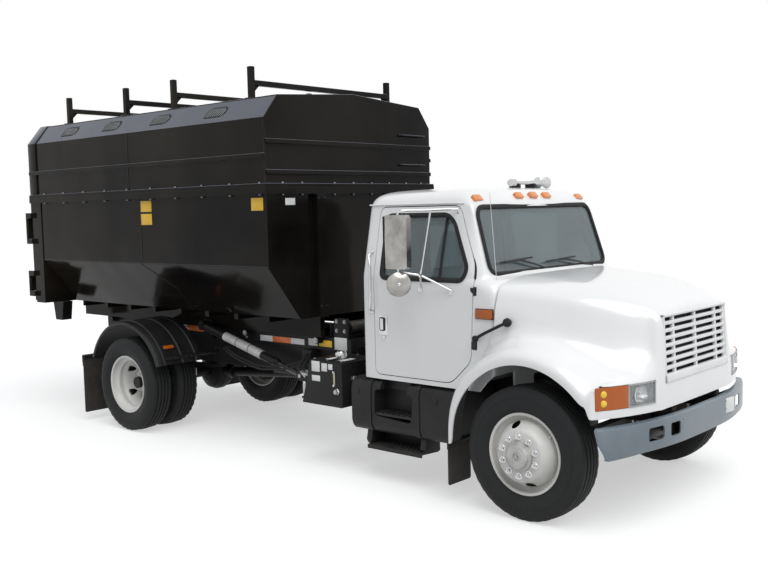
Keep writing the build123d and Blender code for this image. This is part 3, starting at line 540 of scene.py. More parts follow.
def settle(piece, crease=35.0):
    """Applies the piece's modifiers to its mesh."""
    seen_now = piece.evaluated_get(bpy.context.evaluated_depsgraph_get())
    mesh = bpy.data.meshes.new_from_object(seen_now)
    piece.modifiers.clear()
    piece.data = mesh
    mesh.polygons.foreach_set("use_smooth", [True] * len(mesh.polygons))
    mesh.set_sharp_from_angle(angle=radians(crease))
    mesh.update()


def rim(outer_side):
    """The drop-centre rim's closed profile; the side that carries the disc is the deep one."""
    half = 0.104
    outer = [(-half, 0.298), (-half + 0.006, 0.300), (-half + 0.011, 0.296), (-half + 0.013, 0.285)]
    outer += [(-0.058, 0.2835), (-0.046, 0.278), (-0.030, 0.250), (0.030, 0.250), (0.046, 0.278)]
    outer += [(0.058, 0.2835), (half - 0.013, 0.285), (half - 0.011, 0.296), (half - 0.006, 0.300)]
    outer += [(half, 0.298)]
    inner = [(half - 0.002, 0.290), (half - 0.006, 0.280), (0.060, 0.277), (0.050, 0.272), (0.034, 0.243)]
    inner += [(-0.034, 0.243), (-0.050, 0.272), (-0.060, 0.277), (-half + 0.006, 0.280),
              (-half + 0.002, 0.290)]
    loop = [(along * outer_side, radius) for along, radius in outer + inner]
    return loop + loop[:1]


def disc(slope, face):
    """The disc's closed profile, down its slope from the rim to the flat bolting face."""
    way = 1 if face > slope[0][0] else -1
    sheet = 0.011 * way
    front = slope + [(face - 0.004 * way, 0.186), (face, 0.176), (face, 0.112), (face, 0.0)]
    rear = [(along - sheet, radius) for along, radius in front[::-1]]
    return front + rear + front[:1]


def sided(profile, way):
    """A turned profile that stands out to the left (1) or the right (-1)."""
    return [(along * way, radius) for along, radius in profile]


stud_circle = 0.1428
stud_count = 10
hand_hole_circle = 0.217
hand_hole_half = (0.037, 0.0215)
wheel_nut = [(0, 0.026), (0.004, 0.026), (0.006, 0.0185), (0.024, 0.0185), (0.027, 0.015), (0.027, 0.010)]
wheel_nut += [(0.036, 0.010), (0.038, 0.007), (0.038, 0)]


def wheel_nuts(shape, x, face, way):
    """The flange nuts on their studs round a wheel's hub."""
    for number in range(stud_count):
        angle = 2 * pi * (number + 0.5) / stud_count
        place = (x + stud_circle * cos(angle), face, wheel_radius + stud_circle * sin(angle))
        shape.turned(sided(wheel_nut, way), place, "y", 1, 12)


def hand_holes(x, y, angle, count):
    """Cutters for the oval hand holes, evenly spaced from an angle."""
    holes = Shape()
    for number in range(count):
        spot = angle + 2 * pi * number / count
        middle = (x + hand_hole_circle * cos(spot), y, wheel_radius + hand_hole_circle * sin(spot))
        oval = []
        for step in range(20):
            around = 2 * pi * step / 20
            outward = hand_hole_half[1] * sin(around)
            sideways = hand_hole_half[0] * cos(around)
            oval.append((middle[0] + outward * cos(spot) - sideways * sin(spot),
                         middle[2] + outward * sin(spot) + sideways * cos(spot)))
        holes.prism(oval, "y", (y - 0.12, y + 0.12))
    return holes


wheel_surfaces = [wheel_paint, chrome, hub_grey, cast_iron]
front_wheel_y = 1.043
rear_wheel_y = 1.081
twin_spacing = 0.330
front_face = 0.165
front_slope = [(0.024, 0.2445), (0.044, 0.2435), (0.082, 0.234), (0.118, 0.217), (0.146, 0.199)]
rear_slope = [(-0.018, 0.2445), (-0.026, 0.236), (-0.088, 0.212)]
brake_drum = [(0.002, 0), (0.002, 0.225), (0.006, 0.238), (0.016, 0.238), (0.020, 0.225), (0.020, 0)]
rear_drum = [(-0.160, 0.0), (-0.160, 0.236), (-0.036, 0.236), (-0.030, 0.200), (-0.030, 0.0)]
front_hub = [(0, 0.112), (0.010, 0.110), (0.014, 0.098), (0.018, 0.090), (0.034, 0.084), (0.038, 0.078)]
front_hub += [(0.038, 0.060), (0.041, 0.056), (0.041, 0.030), (0.030, 0.026), (0.030, 0.012),
              (0.036, 0.010), (0.036, 0)]
rear_hub = [(0, 0.112), (0.020, 0.110), (0.028, 0.098), (0.060, 0.092), (0.070, 0.088), (0.074, 0.104)]
rear_hub += [(0.086, 0.104), (0.090, 0.100), (0.092, 0.066), (0.100, 0.060), (0.100, 0)]
for side, way in (("left", 1), ("right", -1)):
    y = way * front_wheel_y
    wheel = Shape()
    wheel.turned(sided(disc(front_slope, front_face), way), (0, y, wheel_radius), "y", 0, 64)
    piece = wheel.done("front_disc_" + side, "wheel_front_" + side, "wheel_white", wheel_surfaces[:1])
    carve(piece, hand_holes(0, y + way * 0.10, radians(106), 2))
    band_steel = Shape()
    band_steel.turned(rim(way), (0, y, wheel_radius), "y", 0, 64)
    band_steel.done("front_rim_" + side, "wheel_front_" + side, "wheel_white", wheel_surfaces[:1])
    fittings = Shape()
    face_y = y + way * front_face
    wheel_nuts(fittings, 0, face_y, way)
    fittings.turned(sided(front_hub, way), (0, face_y, wheel_radius), "y", 2, 40)
    fittings.bar((0.19, y + way * 0.02, wheel_radius + 0.14),
                 (0.205, y + way * 0.085, wheel_radius + 0.15), 0.005, 1)
    fittings.turned([(-0.10 * way, 0.105), (0, 0.105)], (0, face_y - 0.012 * way, wheel_radius), "y", 2, 32)
    fittings.turned(sided(brake_drum, way), (0, y, wheel_radius), "y", 3, 40)
    fittings.done("front_hub_" + side, "wheel_front_" + side, "wheel_white", wheel_surfaces)
    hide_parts("front_wheel_" + side)
    tyre(0, y, 0.0022).done("front_tyre_rubber_" + side, "wheel_front_" + side, "tyre", [rubber],
                            ["front_tyre_" + side])

    outer_y = way * rear_wheel_y
    inner_y = way * (rear_wheel_y - twin_spacing)
    middle_y = (outer_y + inner_y) / 2
    rims = Shape()
    rims.turned(rim(way), (rear_axle_x, outer_y, wheel_radius), "y", 0, 64)
    rims.turned(rim(-way), (rear_axle_x, inner_y, wheel_radius), "y", 0, 64)
    rims.done("rear_rims_" + side, "wheels_rear_" + side, "wheel_white", wheel_surfaces[:1])
    pair = Shape()
    deep = sided(disc(rear_slope, 0.001 - twin_spacing / 2), way)
    pair.turned(deep, (rear_axle_x, outer_y, wheel_radius), "y", 0, 64)
    pair.turned(sided(deep, -1), (rear_axle_x, inner_y, wheel_radius), "y", 0, 64)
    piece = pair.done("rear_discs_" + side, "wheels_rear_" + side, "wheel_white", wheel_surfaces[:1])
    carve(piece, hand_holes(rear_axle_x, middle_y, radians(144), 5))
    fittings = Shape()
    face_y = middle_y + way * 0.012
    wheel_nuts(fittings, rear_axle_x, face_y, way)
    fittings.turned(sided(rear_hub, way), (rear_axle_x, face_y, wheel_radius), "y", 0, 40)
    ring_of_bolts(fittings, [(rear_axle_x + 0.084 * cos(2 * pi * step / 8), face_y + way * 0.091,
                              wheel_radius + 0.084 * sin(2 * pi * step / 8)) for step in range(8)],
                  "y", 0.009, 0.009 * way, 2)
    fittings.turned(sided(rear_drum, way), (rear_axle_x, face_y, wheel_radius), "y", 3, 40)
    fittings.done("rear_hub_" + side, "wheels_rear_" + side, "wheel_white", wheel_surfaces)
    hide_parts("rear_wheels_" + side)
    twins = tyre(rear_axle_x, outer_y, 0.006)
    twins.join(tyre(rear_axle_x, inner_y, 0.006))
    twins.done("rear_tyre_rubber_" + side, "wheels_rear_" + side, "tyre", [rubber], ["rear_tyres_" + side])

# Hood: one moulding of glass fibre with both front fenders, painted white. It is laid up some
# millimetres thick and hangs on two pivots behind the bumper. The rows below run from the rear
# edge forward and down over the nose; each has its points from the middle out to the fender lip.
hood_white = finish("hood_white", (0.80, 0.805, 0.81), (0.86, 0.86, 0.86), (0.16, 0.28), patch=0.9,
                    grain=320.0, depth=0.00012, coat=0.5)
underside_black = finish("underside_black", (0.014, 0.014, 0.014), (0.045, 0.043, 0.041), (0.6, 0.85),
                         patch=4.0, grain=180.0, depth=0.0006, dust=0.15)
arch_z = 0.540
lip_radius = 0.606


def lip_at(angle):
    """A point (x, z) of the wheel arch's lip, by the angle above the front."""
    return (lip_radius * cos(radians(angle)), arch_z + lip_radius * sin(radians(angle)))


bonnet_rows = (
    # x, crown z, crease y, crease z, corner y, corner z, flank y, flank z, valley y, valley z
    (-0.344, 1.729, 0.640, 1.718, 0.930, 1.655, 0.994, 1.470, 1.004, 1.262),
    (-0.150, 1.716, 0.632, 1.703, 0.905, 1.632, 0.965, 1.455, 0.985, 1.318),
    (0.080, 1.700, 0.625, 1.683, 0.860, 1.600, 0.905, 1.440, 0.935, 1.312),
    (0.300, 1.678, 0.612, 1.652, 0.800, 1.558, 0.845, 1.390, 0.880, 1.252),
    (0.470, 1.646, 0.585, 1.607, 0.735, 1.508, 0.785, 1.320, 0.835, 1.178),
    (0.600, 1.608, 0.550, 1.562, 0.672, 1.462, 0.730, 1.255, 0.800, 1.125),
)
fender_rows = (
    # inner crest, outer crest and edge as (x, y, z), then the lip's angle
    ((-0.344, 1.070, 1.208), (-0.340, 1.135, 1.178), (-0.335, 1.188, 1.130), 121),
    ((-0.150, 1.070, 1.282), (-0.140, 1.140, 1.256), (-0.130, 1.190, 1.210), 102),
    (None, None, None, 84),
    (None, None, None, 66),
    (None, None, None, 49),
    (None, None, None, 37),
)
crest_line = ((0.080, 1.268, 1.245, 1.205), (0.290, 1.208, 1.185, 1.150), (0.430, 1.122, 1.092, 1.052),
              (0.520, 1.058, 1.015, 0.965))
nose_rows = (
    # middle, crease and corner; flank, valley and inner crest; outer crest, edge and lip
    ((0.705, 0, 1.556), (0.668, 0.508, 1.534), (0.668, 0.602, 1.452),
     (0.685, 0.650, 1.220), (0.700, 0.770, 1.092), (0.640, 0.930, 1.070),
     (0.590, 1.060, 1.050), (0.540, 1.165, 1.010), (0.515, 1.200, 0.905)),
    ((0.757, 0, 1.505), (0.735, 0.530, 1.485), (0.712, 0.592, 1.420),
     (0.732, 0.640, 1.150), (0.735, 0.760, 1.062), (0.685, 0.925, 1.052),
     (0.632, 1.055, 1.046), (0.572, 1.165, 1.020), (0.528, 1.200, 0.880)),
    ((0.770, 0, 1.440), (0.764, 0.548, 1.420), (0.745, 0.590, 1.360),
     (0.765, 0.640, 1.060), (0.750, 0.765, 1.040), (0.702, 0.930, 1.038),
     (0.648, 1.062, 1.034), (0.585, 1.168, 1.018), (0.536, 1.200, 0.860)),
    ((0.780, 0, 1.150), (0.778, 0.560, 1.150), (0.774, 0.600, 1.120),
     (0.770, 0.650, 0.990), (0.753, 0.765, 0.985), (0.706, 0.932, 0.980),
     (0.652, 1.064, 0.978), (0.588, 1.170, 0.975), (0.542, 1.200, 0.845)),
    ((0.782, 0, 0.950), (0.782, 0.560, 0.950), (0.780, 0.605, 0.935),
     (0.771, 0.655, 0.900), (0.754, 0.765, 0.890), (0.707, 0.932, 0.880),
     (0.653, 1.064, 0.876), (0.590, 1.168, 0.874), (0.548, 1.200, 0.832)),
    ((0.776, 0, 0.806), (0.776, 0.560, 0.808), (0.774, 0.605, 0.810),
     (0.766, 0.655, 0.813), (0.750, 0.765, 0.815), (0.703, 0.932, 0.817),
     (0.650, 1.062, 0.818), (0.588, 1.162, 0.818), (0.552, 1.196, 0.820)),
)
tail_rows = ((0.712, 141), (0.690, 157), (0.672, 171), (0.664, 185))


def full_row(middle, crease, corner, flank, valley, crest_in, crest_out, edge, outer, lip):
    """One row of points with the ones between worked out."""

    def between(a, b, t):
        return tuple(a[i] + (b[i] - a[i]) * t for i in range(3))

    rise = 0.25 * (middle[2] - crease[2])
    inner_crown = (middle[0] + (crease[0] - middle[0]) * 0.3, crease[1] * 0.5, middle[2] - rise)
    near_crease = (crease[0], crease[1] - 0.055, crease[2] + 0.35 * (inner_crown[2] - crease[2]) + 0.002)
    shoulder = between(crease, corner, 0.60)
    shoulder = (shoulder[0], shoulder[1], shoulder[2] + 0.30 * (crease[2] - corner[2]))
    return [middle, inner_crown, near_crease, crease, shoulder, corner, between(corner, flank, 0.5), flank,
            valley, crest_in, crest_out, edge, outer, lip]


rows = []
for number, (x, crown_z, crease_y, crease_z, corner_y, corner_z, flank_y, flank_z, valley_y,
             valley_z) in enumerate(bonnet_rows):
    crest_in, crest_out, edge, angle = fender_rows[number]
    if crest_in is None:
        edge_x, inner_z, outer_z, edge_z = crest_line[number - 2]
        crest_in = (edge_x, 1.050, inner_z)
        crest_out = (edge_x, 1.130, outer_z)
        edge = (edge_x, 1.186, edge_z)
    lip_x, lip_z = lip_at(angle)
    outer = ((edge[0] + lip_x) / 2, 1.200, (edge[2] + lip_z) / 2)
    rows.append(full_row((x, 0, crown_z), (x, crease_y, crease_z), (x, corner_y, corner_z),
                         (x, flank_y, flank_z), (x, valley_y, valley_z), crest_in, crest_out, edge,
                         outer, (lip_x, 1.200, lip_z)))
for row in nose_rows:
    edge, lip = row[7], row[8]
    outer = tuple((edge[i] * 0.4 + lip[i] * 0.6) if i != 1 else 1.196 for i in range(3))
    rows.append(full_row(*row[:8], outer, lip))
tail = []
for radius, angle in tail_rows:
    heading = (cos(radians(angle)), sin(radians(angle)))
    lip_x, lip_z = lip_at(angle)
    inner = (radius * heading[0], arch_z + radius * heading[1])
    edge = ((radius - 0.012) * heading[0], arch_z + (radius - 0.012) * heading[1])
    tail.append([(inner[0], 1.003, inner[1]), (inner[0], 1.070, inner[1]), (inner[0], 1.140, inner[1]),
                 (edge[0], 1.188, edge[1]), ((edge[0] + lip_x) / 2, 1.200, (edge[1] + lip_z) / 2),
                 (lip_x, 1.200, lip_z)])
hood_shape = Shape()
hood_shape.loft(rows, closed=False)
width = len(rows[0])
tail_first = len(hood_shape.points)
tail_width = len(tail[0])
for row in tail:
    hood_shape.points += row
for at in range(len(tail)):
    for column in range(tail_width - 1):
        if at == 0:
            joined = width - tail_width + column
        else:
            joined = tail_first + (at - 1) * tail_width + column
        here = tail_first + at * tail_width + column
        hood_shape.faces.append([here, here + 1, joined + 1, joined])
        hood_shape.slots.append(0)
hood_piece = hood_shape.both().done("hood_moulding", "tilting_hood", "hood_paint",
                                    [hood_white, underside_black], crease=60)
form = bmesh.new()
form.from_mesh(hood_piece.data)
bmesh.ops.remove_doubles(form, verts=form.verts[:], dist=0.0005)
bmesh.ops.recalc_face_normals(form, faces=form.faces[:])
if sum(face.normal.z for face in form.faces) < 0:
    bmesh.ops.reverse_faces(form, faces=form.faces[:])
form.to_mesh(hood_piece.data)
form.free()
hood_piece.modifiers.new("soft", "SUBSURF").levels = 3
laminate = hood_piece.modifiers.new("wall", "SOLIDIFY")
laminate.thickness = 0.014
laminate.offset = -1.0
laminate.material_offset = 1
settle(hood_piece, 50)

# The openings in the nose, cut out of the moulding: one for the grille and one each side for
# the lamps.
grille_half = 0.520
grille_low = 0.992
grille_high = 1.460
nose_openings = Shape()
nose_openings.block((0.60, 0.90), (-grille_half, grille_half), (grille_low, grille_high))
lamp_low = 0.874
lamp_high = 1.034
lamp_plan = [(0.800, 0.668), (0.735, 0.945), (0.640, 1.150), (0.606, 1.172)]
lamp_back = [(0.586, 1.172), (0.560, 1.050), (0.590, 0.945), (0.690, 0.668)]
for way in (1, -1):
    nose_openings.prism([(x, way * y) for x, y in lamp_plan + lamp_back], "z", (lamp_low, lamp_high), 0.006)
carve(hood_piece, nose_openings)
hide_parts("hood")

# Hood hardware: the two lugs it turns on, steel straps bolted inside the nose.
hood_lugs = Shape()
for y in (0.362, 0.398):
    hood_lugs.prism([(0.744, 0.756), (0.776, 0.756), (0.776, 0.785), (0.766, 0.800), (0.760, 0.990),
                     (0.744, 0.990)], "y", (y, y + 0.012), 0.003)
hood_lugs.turned([(0, 0.012), (0.070, 0.012)], (0.760, 0.350, 0.772), "y", 0, 20)
hood_lugs.both().done("hood_lugs", "tilting_hood", "steel", [frame_black])

# Grille: one white plastic moulding let into the nose, with a raised rim, eight rows of slots
# between flat bars and three uprights; a black insect screen stands behind it.
grille_white = finish("grille_white", (0.74, 0.75, 0.76), (0.82, 0.82, 0.82), (0.25, 0.4), patch=3.0,
                      grain=260.0, depth=0.0002)
black_screen_and_painted_shade = finish("black_screen_and_painted_shade", (0.004, 0.004, 0.004), (0.010, 0.010, 0.010), (0.7, 0.95),
                      grain=500.0)
lean = (0.782 - 0.757) / (1.468 - 0.990)
grille = Shape()
rim_width = 0.017
slot_pitch = 0.0527
slot_height = 0.028
slot_low = 1.050


def leaned(shape):
    """Tips a piece drawn upright back to the slope of the nose."""
    shape.points = [(x - (z - 0.990) * lean, y, z) for x, y, z in shape.points]


face_x = 0.781
outer_half = grille_half + 0.014
for z in ((0.990, slot_low - 0.002), (1.468 - rim_width, 1.468)):
    grille.block((face_x - 0.030, face_x + 0.008), (-outer_half, outer_half), z, 0.005, steps=3)
for way in (1, -1):
    grille.block((face_x - 0.030, face_x + 0.008),
                 sorted((way * (outer_half - rim_width), way * outer_half)), (0.990, 1.468), 0.005,
                 steps=3)
for number in range(8):
    low = slot_low + slot_height + number * slot_pitch
    grille.block((face_x - 0.030, face_x - 0.001), (-grille_half, grille_half),
                 (low, low + slot_pitch - slot_height), 0.004, steps=3)
for y0, y1 in ((-0.374, -0.346), (-0.014, 0.014), (0.346, 0.374), (0.500, 0.522), (-0.522, -0.500)):
    grille.block((face_x - 0.026, face_x - 0.004), (y0, y1), (0.995, 1.462), 0.003)
leaned(grille)
grille.done("grille_moulding", "tilting_hood", "hood_paint", [grille_white], ["grille"])
screen = Shape()
screen.block((face_x - 0.052, face_x - 0.046), (-0.535, 0.535), (0.985, 1.455))
leaned(screen)
screen.done("grille_screen", "tilting_hood", "black_plastic", [black_screen_and_painted_shade])

# Lamps: a grey moulded bezel round an amber turn signal, which wraps the corner and carries two
# yellow reflectors, and a clear rectangular headlamp with a bright dished reflector.


def glassy(name, colour, rough, clear, lines=0.0, depth=0.0012):
    """A clear or tinted lens or pane, with moulded ribs where lines are asked for."""
    surface = finish(name, tuple(part * 0.9 for part in colour), colour, (rough, rough + 0.05), patch=3.0,
                     grain=30.0, depth=0.00005)
    tree = surface.node_tree
    shader = tree.nodes["Principled BSDF"]
    shader.inputs["Transmission Weight"].default_value = clear
    shader.inputs["IOR"].default_value = 1.45
    if lines:
        place = add_node(tree, "TexCoord")
        ribs = add_node(tree, "TexWave", Scale=lines)
        ribs.bands_direction = "Y"
        tree.links.new(place.outputs["Object"], ribs.inputs["Vector"])
        raised = relief(tree, ribs.outputs["Fac"], 0.6, depth)
        tree.links.new(raised.outputs["Normal"], shader.inputs["Normal"])
    return surface


bezel_grey = finish("bezel_grey", (0.30, 0.31, 0.32), (0.42, 0.43, 0.43), (0.3, 0.5), patch=6.0, metal=0.3)
amber = glassy("amber_lens", (0.56, 0.125, 0.008), 0.10, 0.15, lines=32.0)
yellow = finish("yellow_reflector", (0.85, 0.50, 0.01), (0.95, 0.66, 0.03), (0.15, 0.3), patch=30.0,
                grain=500.0, depth=0.001, coat=0.5)
clear_lens = glassy("clear_lens", (0.86, 0.88, 0.90), 0.03, 0.85, lines=22.0)
face_line = [(0.7685, 0.668), (0.7545, 0.745), (0.737, 0.815), (0.712, 0.905), (0.686, 0.975),
             (0.652, 1.050), (0.616, 1.115), (0.584, 1.176)]


def along_face(shape, start, end, z, out, depth, slot, round_off=0.0):
    """A panel that follows the nose's plan line from one y to another, out from it by a little."""
    marks = [face_spot(start + (end - start) * step / 12) for step in range(13)]
    front = [(x + out * nx, y + out * ny) for x, y, nx, ny in marks]
    rear = [(x + (out - depth) * nx, y + (out - depth) * ny) for x, y, nx, ny in marks]
    shape.prism(front + rear[::-1], "z", z, round_off, slot)


def face_spot(y):
    """The point of the nose's plan line at y, and the way it faces."""
    for (x0, y0), (x1, y1) in zip(face_line, face_line[1:]):
        if y <= y1 or (x1, y1) == face_line[-1]:
            t = (y - y0) / (y1 - y0)
            length = sqrt((x1 - x0) ** 2 + (y1 - y0) ** 2)
            return (x0 + (x1 - x0) * t, y, (y1 - y0) / length, (x0 - x1) / length)


def headed(place, heading):
    """Moves a piece made at the origin to a place, turned in plan by an angle."""
    x0, y0, z0 = place
    return lambda x, y, z: (x0 + x * cos(heading) - y * sin(heading),
                            y0 + x * sin(heading) + y * cos(heading), z0 + z)


lamps = Shape()
rim_z = 0.011
bezel_in = 0.668
bezel_out = 0.934
lens_in = bezel_in + 0.012
lens_out = bezel_out - 0.012
amber_out = 1.174
along_face(lamps, bezel_in, bezel_out, (lamp_high - rim_z, lamp_high), 0.005, 0.030, 0, 0.002)
along_face(lamps, bezel_in, bezel_out, (lamp_low, lamp_low + rim_z), 0.005, 0.030, 0, 0.002)
along_face(lamps, bezel_in, lens_in, (lamp_low, lamp_high), 0.005, 0.030, 0, 0.002)
along_face(lamps, lens_out, bezel_out, (lamp_low, lamp_high), 0.003, 0.030, 0, 0.002)
along_face(lamps, bezel_in, 1.090, (lamp_low, lamp_high), -0.070, 0.006, 0)
along_face(lamps, bezel_out, amber_out, (lamp_low + 0.003, lamp_high - 0.003), 0.005, 0.014, 1, 0.004)
along_face(lamps, lens_in, lens_out, (lamp_low + rim_z, lamp_high - rim_z), 0.000, 0.005, 3, 0.002)
for z in (0.922, 0.985):
    x, y, nx, ny = face_spot(1.118)
    round_face = Shape()
    round_face.turned([(0, 0.024), (0.004, 0.024), (0.008, 0.019), (0.010, 0)], (0, 0, 0), "x", 2, 24)
    lamps.join(round_face, headed((x + 0.003 * nx, y + 0.003 * ny, z), atan2(ny, nx)))
bowl = [(-0.012, 0.062), (-0.040, 0.050), (-0.058, 0.030), (-0.064, 0), (-0.066, 0), (-0.062, 0.034),
        (-0.044, 0.056)]
bowl += [(-0.016, 0.068), (-0.012, 0.062)]
bulb_place = (0.742, 0.800, 0.954)
lamps.turned(bowl, bulb_place, "x", 4, 28, scale=(1.35, 0.95))
lamps.turned([(-0.058, 0.011), (-0.024, 0.011), (-0.016, 0.006), (-0.014, 0)], bulb_place, "x", 3, 16)
screw_x, screw_y, nx, ny = face_spot(0.672)
for z in (1.026, 0.882):
    lamps.turned([(0, 0.005), (0.004, 0.005), (0.006, 0.003), (0.006, 0)],
                 (screw_x + 0.004, screw_y, z), "x", 4, 10)
lamps.both().done("headlamp_units", "tilting_hood", "lamp_amber",
                  [bezel_grey, amber, yellow, clear_lens, chrome], ["headlamps"])

# Front bumper: a pressed steel channel painted grey-blue, flat in the middle and swept back at
# its ends, with two tow openings a side, bolted to a bracket on each rail.
bumper_blue = finish("bumper_blue", (0.115, 0.150, 0.180), (0.165, 0.200, 0.230), (0.30, 0.45), patch=2.2,
                     grain=180.0, depth=0.0005, coat=0.25, dust=0.10)
bumper_line = [(0.848, 0.0), (0.847, 0.20), (0.842, 0.38), (0.824, 0.56), (0.796, 0.72), (0.760, 0.88),
               (0.716, 1.03), (0.672, 1.14), (0.650, 1.190), (0.628, 1.215), (0.600, 1.222)]
bumper_high = 0.765
bumper_low = 0.549
lip = 0.055
channel = [(lip, bumper_high), (0.020, bumper_high), (0.006, bumper_high - 0.005),
           (0.0, bumper_high - 0.018)]
channel += [(-0.001, 0.66), (0.0, bumper_low + 0.026), (0.006, bumper_low + 0.008), (0.022, bumper_low)]
channel += [(lip, bumper_low), (lip, bumper_low + 0.006), (0.024, bumper_low + 0.007),
            (0.013, bumper_low + 0.013)]
channel += [(0.008, bumper_low + 0.028), (0.008, bumper_high - 0.020), (0.013, bumper_high - 0.010)]
channel += [(0.022, bumper_high - 0.006), (lip, bumper_high - 0.006)]


def smooth_line(points, parts):
    """A smooth line through points of any number of numbers."""
    line = []
    last = len(points) - 1
    for at in range(last):
        before = points[max(at - 1, 0)]
        start = points[at]
        end = points[at + 1]
        after = points[min(at + 2, last)]
        for step in range(parts):
            t = step / parts
            spot = []
            for a, b, c, d in zip(before, start, end, after):
                spot.append(0.5 * (2 * b + (c - a) * t + (2 * a - 5 * b + 4 * c - d) * t ** 2
                                   + (3 * b - a - 3 * c + d) * t ** 3))
            line.append(tuple(spot))
    line.append(tuple(points[-1]))
    return line


half_line = smooth_line(bumper_line, 4)
reach = [0.0]
for (x0, y0), (x1, y1) in zip(half_line, half_line[1:]):
    reach.append(reach[-1] + sqrt((x1 - x0) ** 2 + (y1 - y0) ** 2))
swept_from = 1.05


def along_bumper(distance):
    """The place on the bumper's plan line at a distance from its middle, and the way inward."""
    at = max(0, min(len(half_line) - 2, sum(1 for mark in reach if mark <= distance) - 1))
    (x0, y0), (x1, y1) = half_line[at], half_line[at + 1]
    length = reach[at + 1] - reach[at]
    t = (distance - reach[at]) / length
    return x0 + (x1 - x0) * t, y0 + (y1 - y0) * t, -(y1 - y0) / length, (x1 - x0) / length


rings = []
stations = sorted([-mark for mark in reach[1:]] + reach)
for station in stations:
    way = 1 if station >= 0 else -1
    ring = []
    for depth, z in channel:
        # The ends are cut at a slant and turned round at their lower corner
        fall = (bumper_high - z) / (bumper_high - bumper_low)
        short = 0.045 * fall + 0.075 * fall ** 4
        distance = abs(station)
        if distance > swept_from:
            distance -= short * (distance - swept_from) / (reach[-1] - swept_from)
        x, y, inward_x, inward_y = along_bumper(distance)
        if z < 0.62:
            z -= 0.014 * min(1.0, max(0.0, (y - 0.80) / 0.35))
        ring.append((x + inward_x * depth, way * (y + inward_y * depth), z))
    rings.append(ring)
bumper = Shape()
bumper.loft(rings, caps=True)
bumper_piece = bumper.done("bumper_channel", "chassis", "bumper_paint", [bumper_blue])


def rounded_outline(points, radius, parts=5):
    """A closed outline with every corner turned by a radius."""
    outline = []
    count = len(points)
    for at in range(count):
        corner = Vector(points[at])
        before = Vector(points[at - 1]) - corner
        after = Vector(points[(at + 1) % count]) - corner
        reach = min(radius, before.length * 0.45, after.length * 0.45)
        enter = corner + before.normalized() * reach
        leave = corner + after.normalized() * reach
        for step in range(parts + 1):
            t = step / parts
            outline.append(tuple(enter * (1 - t) ** 2 + corner * (2 * t * (1 - t)) + leave * t ** 2))
    return outline


def rounded_box(across, over, radius, parts=5):
    """A rounded outline between two values each way."""
    corners = [(across[0], over[0]), (across[1], over[0]), (across[1], over[1]), (across[0], over[1])]
    return rounded_outline(corners, radius, parts)


tow_openings = Shape()
for y0, y1 in ((0.622, 0.790), (0.416, 0.544)):
    for way in (1, -1):
        tow_openings.prism(rounded_box((way * y0, way * y1), (0.622, 0.716), 0.022), "x", (0.60, 0.90))
carve(bumper_piece, tow_openings)
plate_white = finish("plate_white", (0.70, 0.71, 0.71), (0.82, 0.82, 0.82), (0.3, 0.45), patch=9.0,
                     grain=300.0)
bumper_parts = Shape()
for way in (1, -1):
    bumper_parts.block((0.60, 0.835), side_span(way, 0.352, 0.360), (0.600, 0.735), 0.004, 0)
    bumper_parts.block((0.60, 0.775), side_span(way, 0.377, 0.393), (0.690, 0.792), 0.006, 0)
    bumper_parts.block((0.770, 0.784), side_span(way, 0.36, 0.43), (0.600, 0.735), 0.004, 0)
    bumper_parts.block((0.700, 0.708), side_span(way, 0.40, 0.90), (0.598, 0.742), 0.003, 0)
    for z in (0.722, 0.664):
        bumper_parts.turned([(0, 0.011), (0.004, 0.011), (0.007, 0.006), (0.007, 0)],
                            (0.8405, way * 0.372, z), "x", 1, 14)
# A blank white plate on the left half
bumper_parts.prism(rounded_outline([(0.368, 0.628), (0.528, 0.622), (0.528, 0.736), (0.368, 0.742)],
                                   0.010, 3), "x", (0.838, 0.846), 0.001, 2)
bumper_parts.done("bumper_brackets", "chassis", "bumper_paint", [frame_black, bare_steel, plate_white],
                  ["front_bumper"])

# Cab shell: pressed steel panels welded together and painted white, with a bulged roof, raked
# windshield and rounded pillars. One skin is drawn as level loops, from the rear's middle round
# the side to the windshield's middle; openings for doors and glass are cut out of it.
cab_white = finish("cab_white", (0.78, 0.785, 0.79), (0.84, 0.84, 0.84), (0.16, 0.28), patch=1.1,
                   grain=300.0, depth=0.00012, coat=0.5, dust=0.06)
cab_rear_x = -1.692
cab_half_width = 0.985
belt_z = 1.70
side_lean = 0.21026
glass_foot = (-0.445, 1.718)
glass_rise = 0.557
glass_rake = 0.176


def side_y(z):
    """The half width of the cab's side at a height."""
    return cab_half_width - max(0.0, z - belt_z) * side_lean


def loop(z, inset, half, corner, points):
    """A level loop: the rear wall at an inset, its corner, the side, then points round the front."""
    rear = cab_rear_x + inset
    line = [(rear, 0), (rear, half * 0.5), (rear, half - corner * 1.6),
            (rear + corner * 0.12, half - corner * 0.45)]
    line += [(rear + corner * 0.5, half - corner * 0.06), (rear + corner * 1.6, half)]
    first_front = points[0][0]
    for part in (0.30, 0.60, 0.85):
        line.append((rear + corner * 1.6 + (first_front - rear - corner * 1.6) * part, half))
    return [(x, y, z) for x, y in line + points]


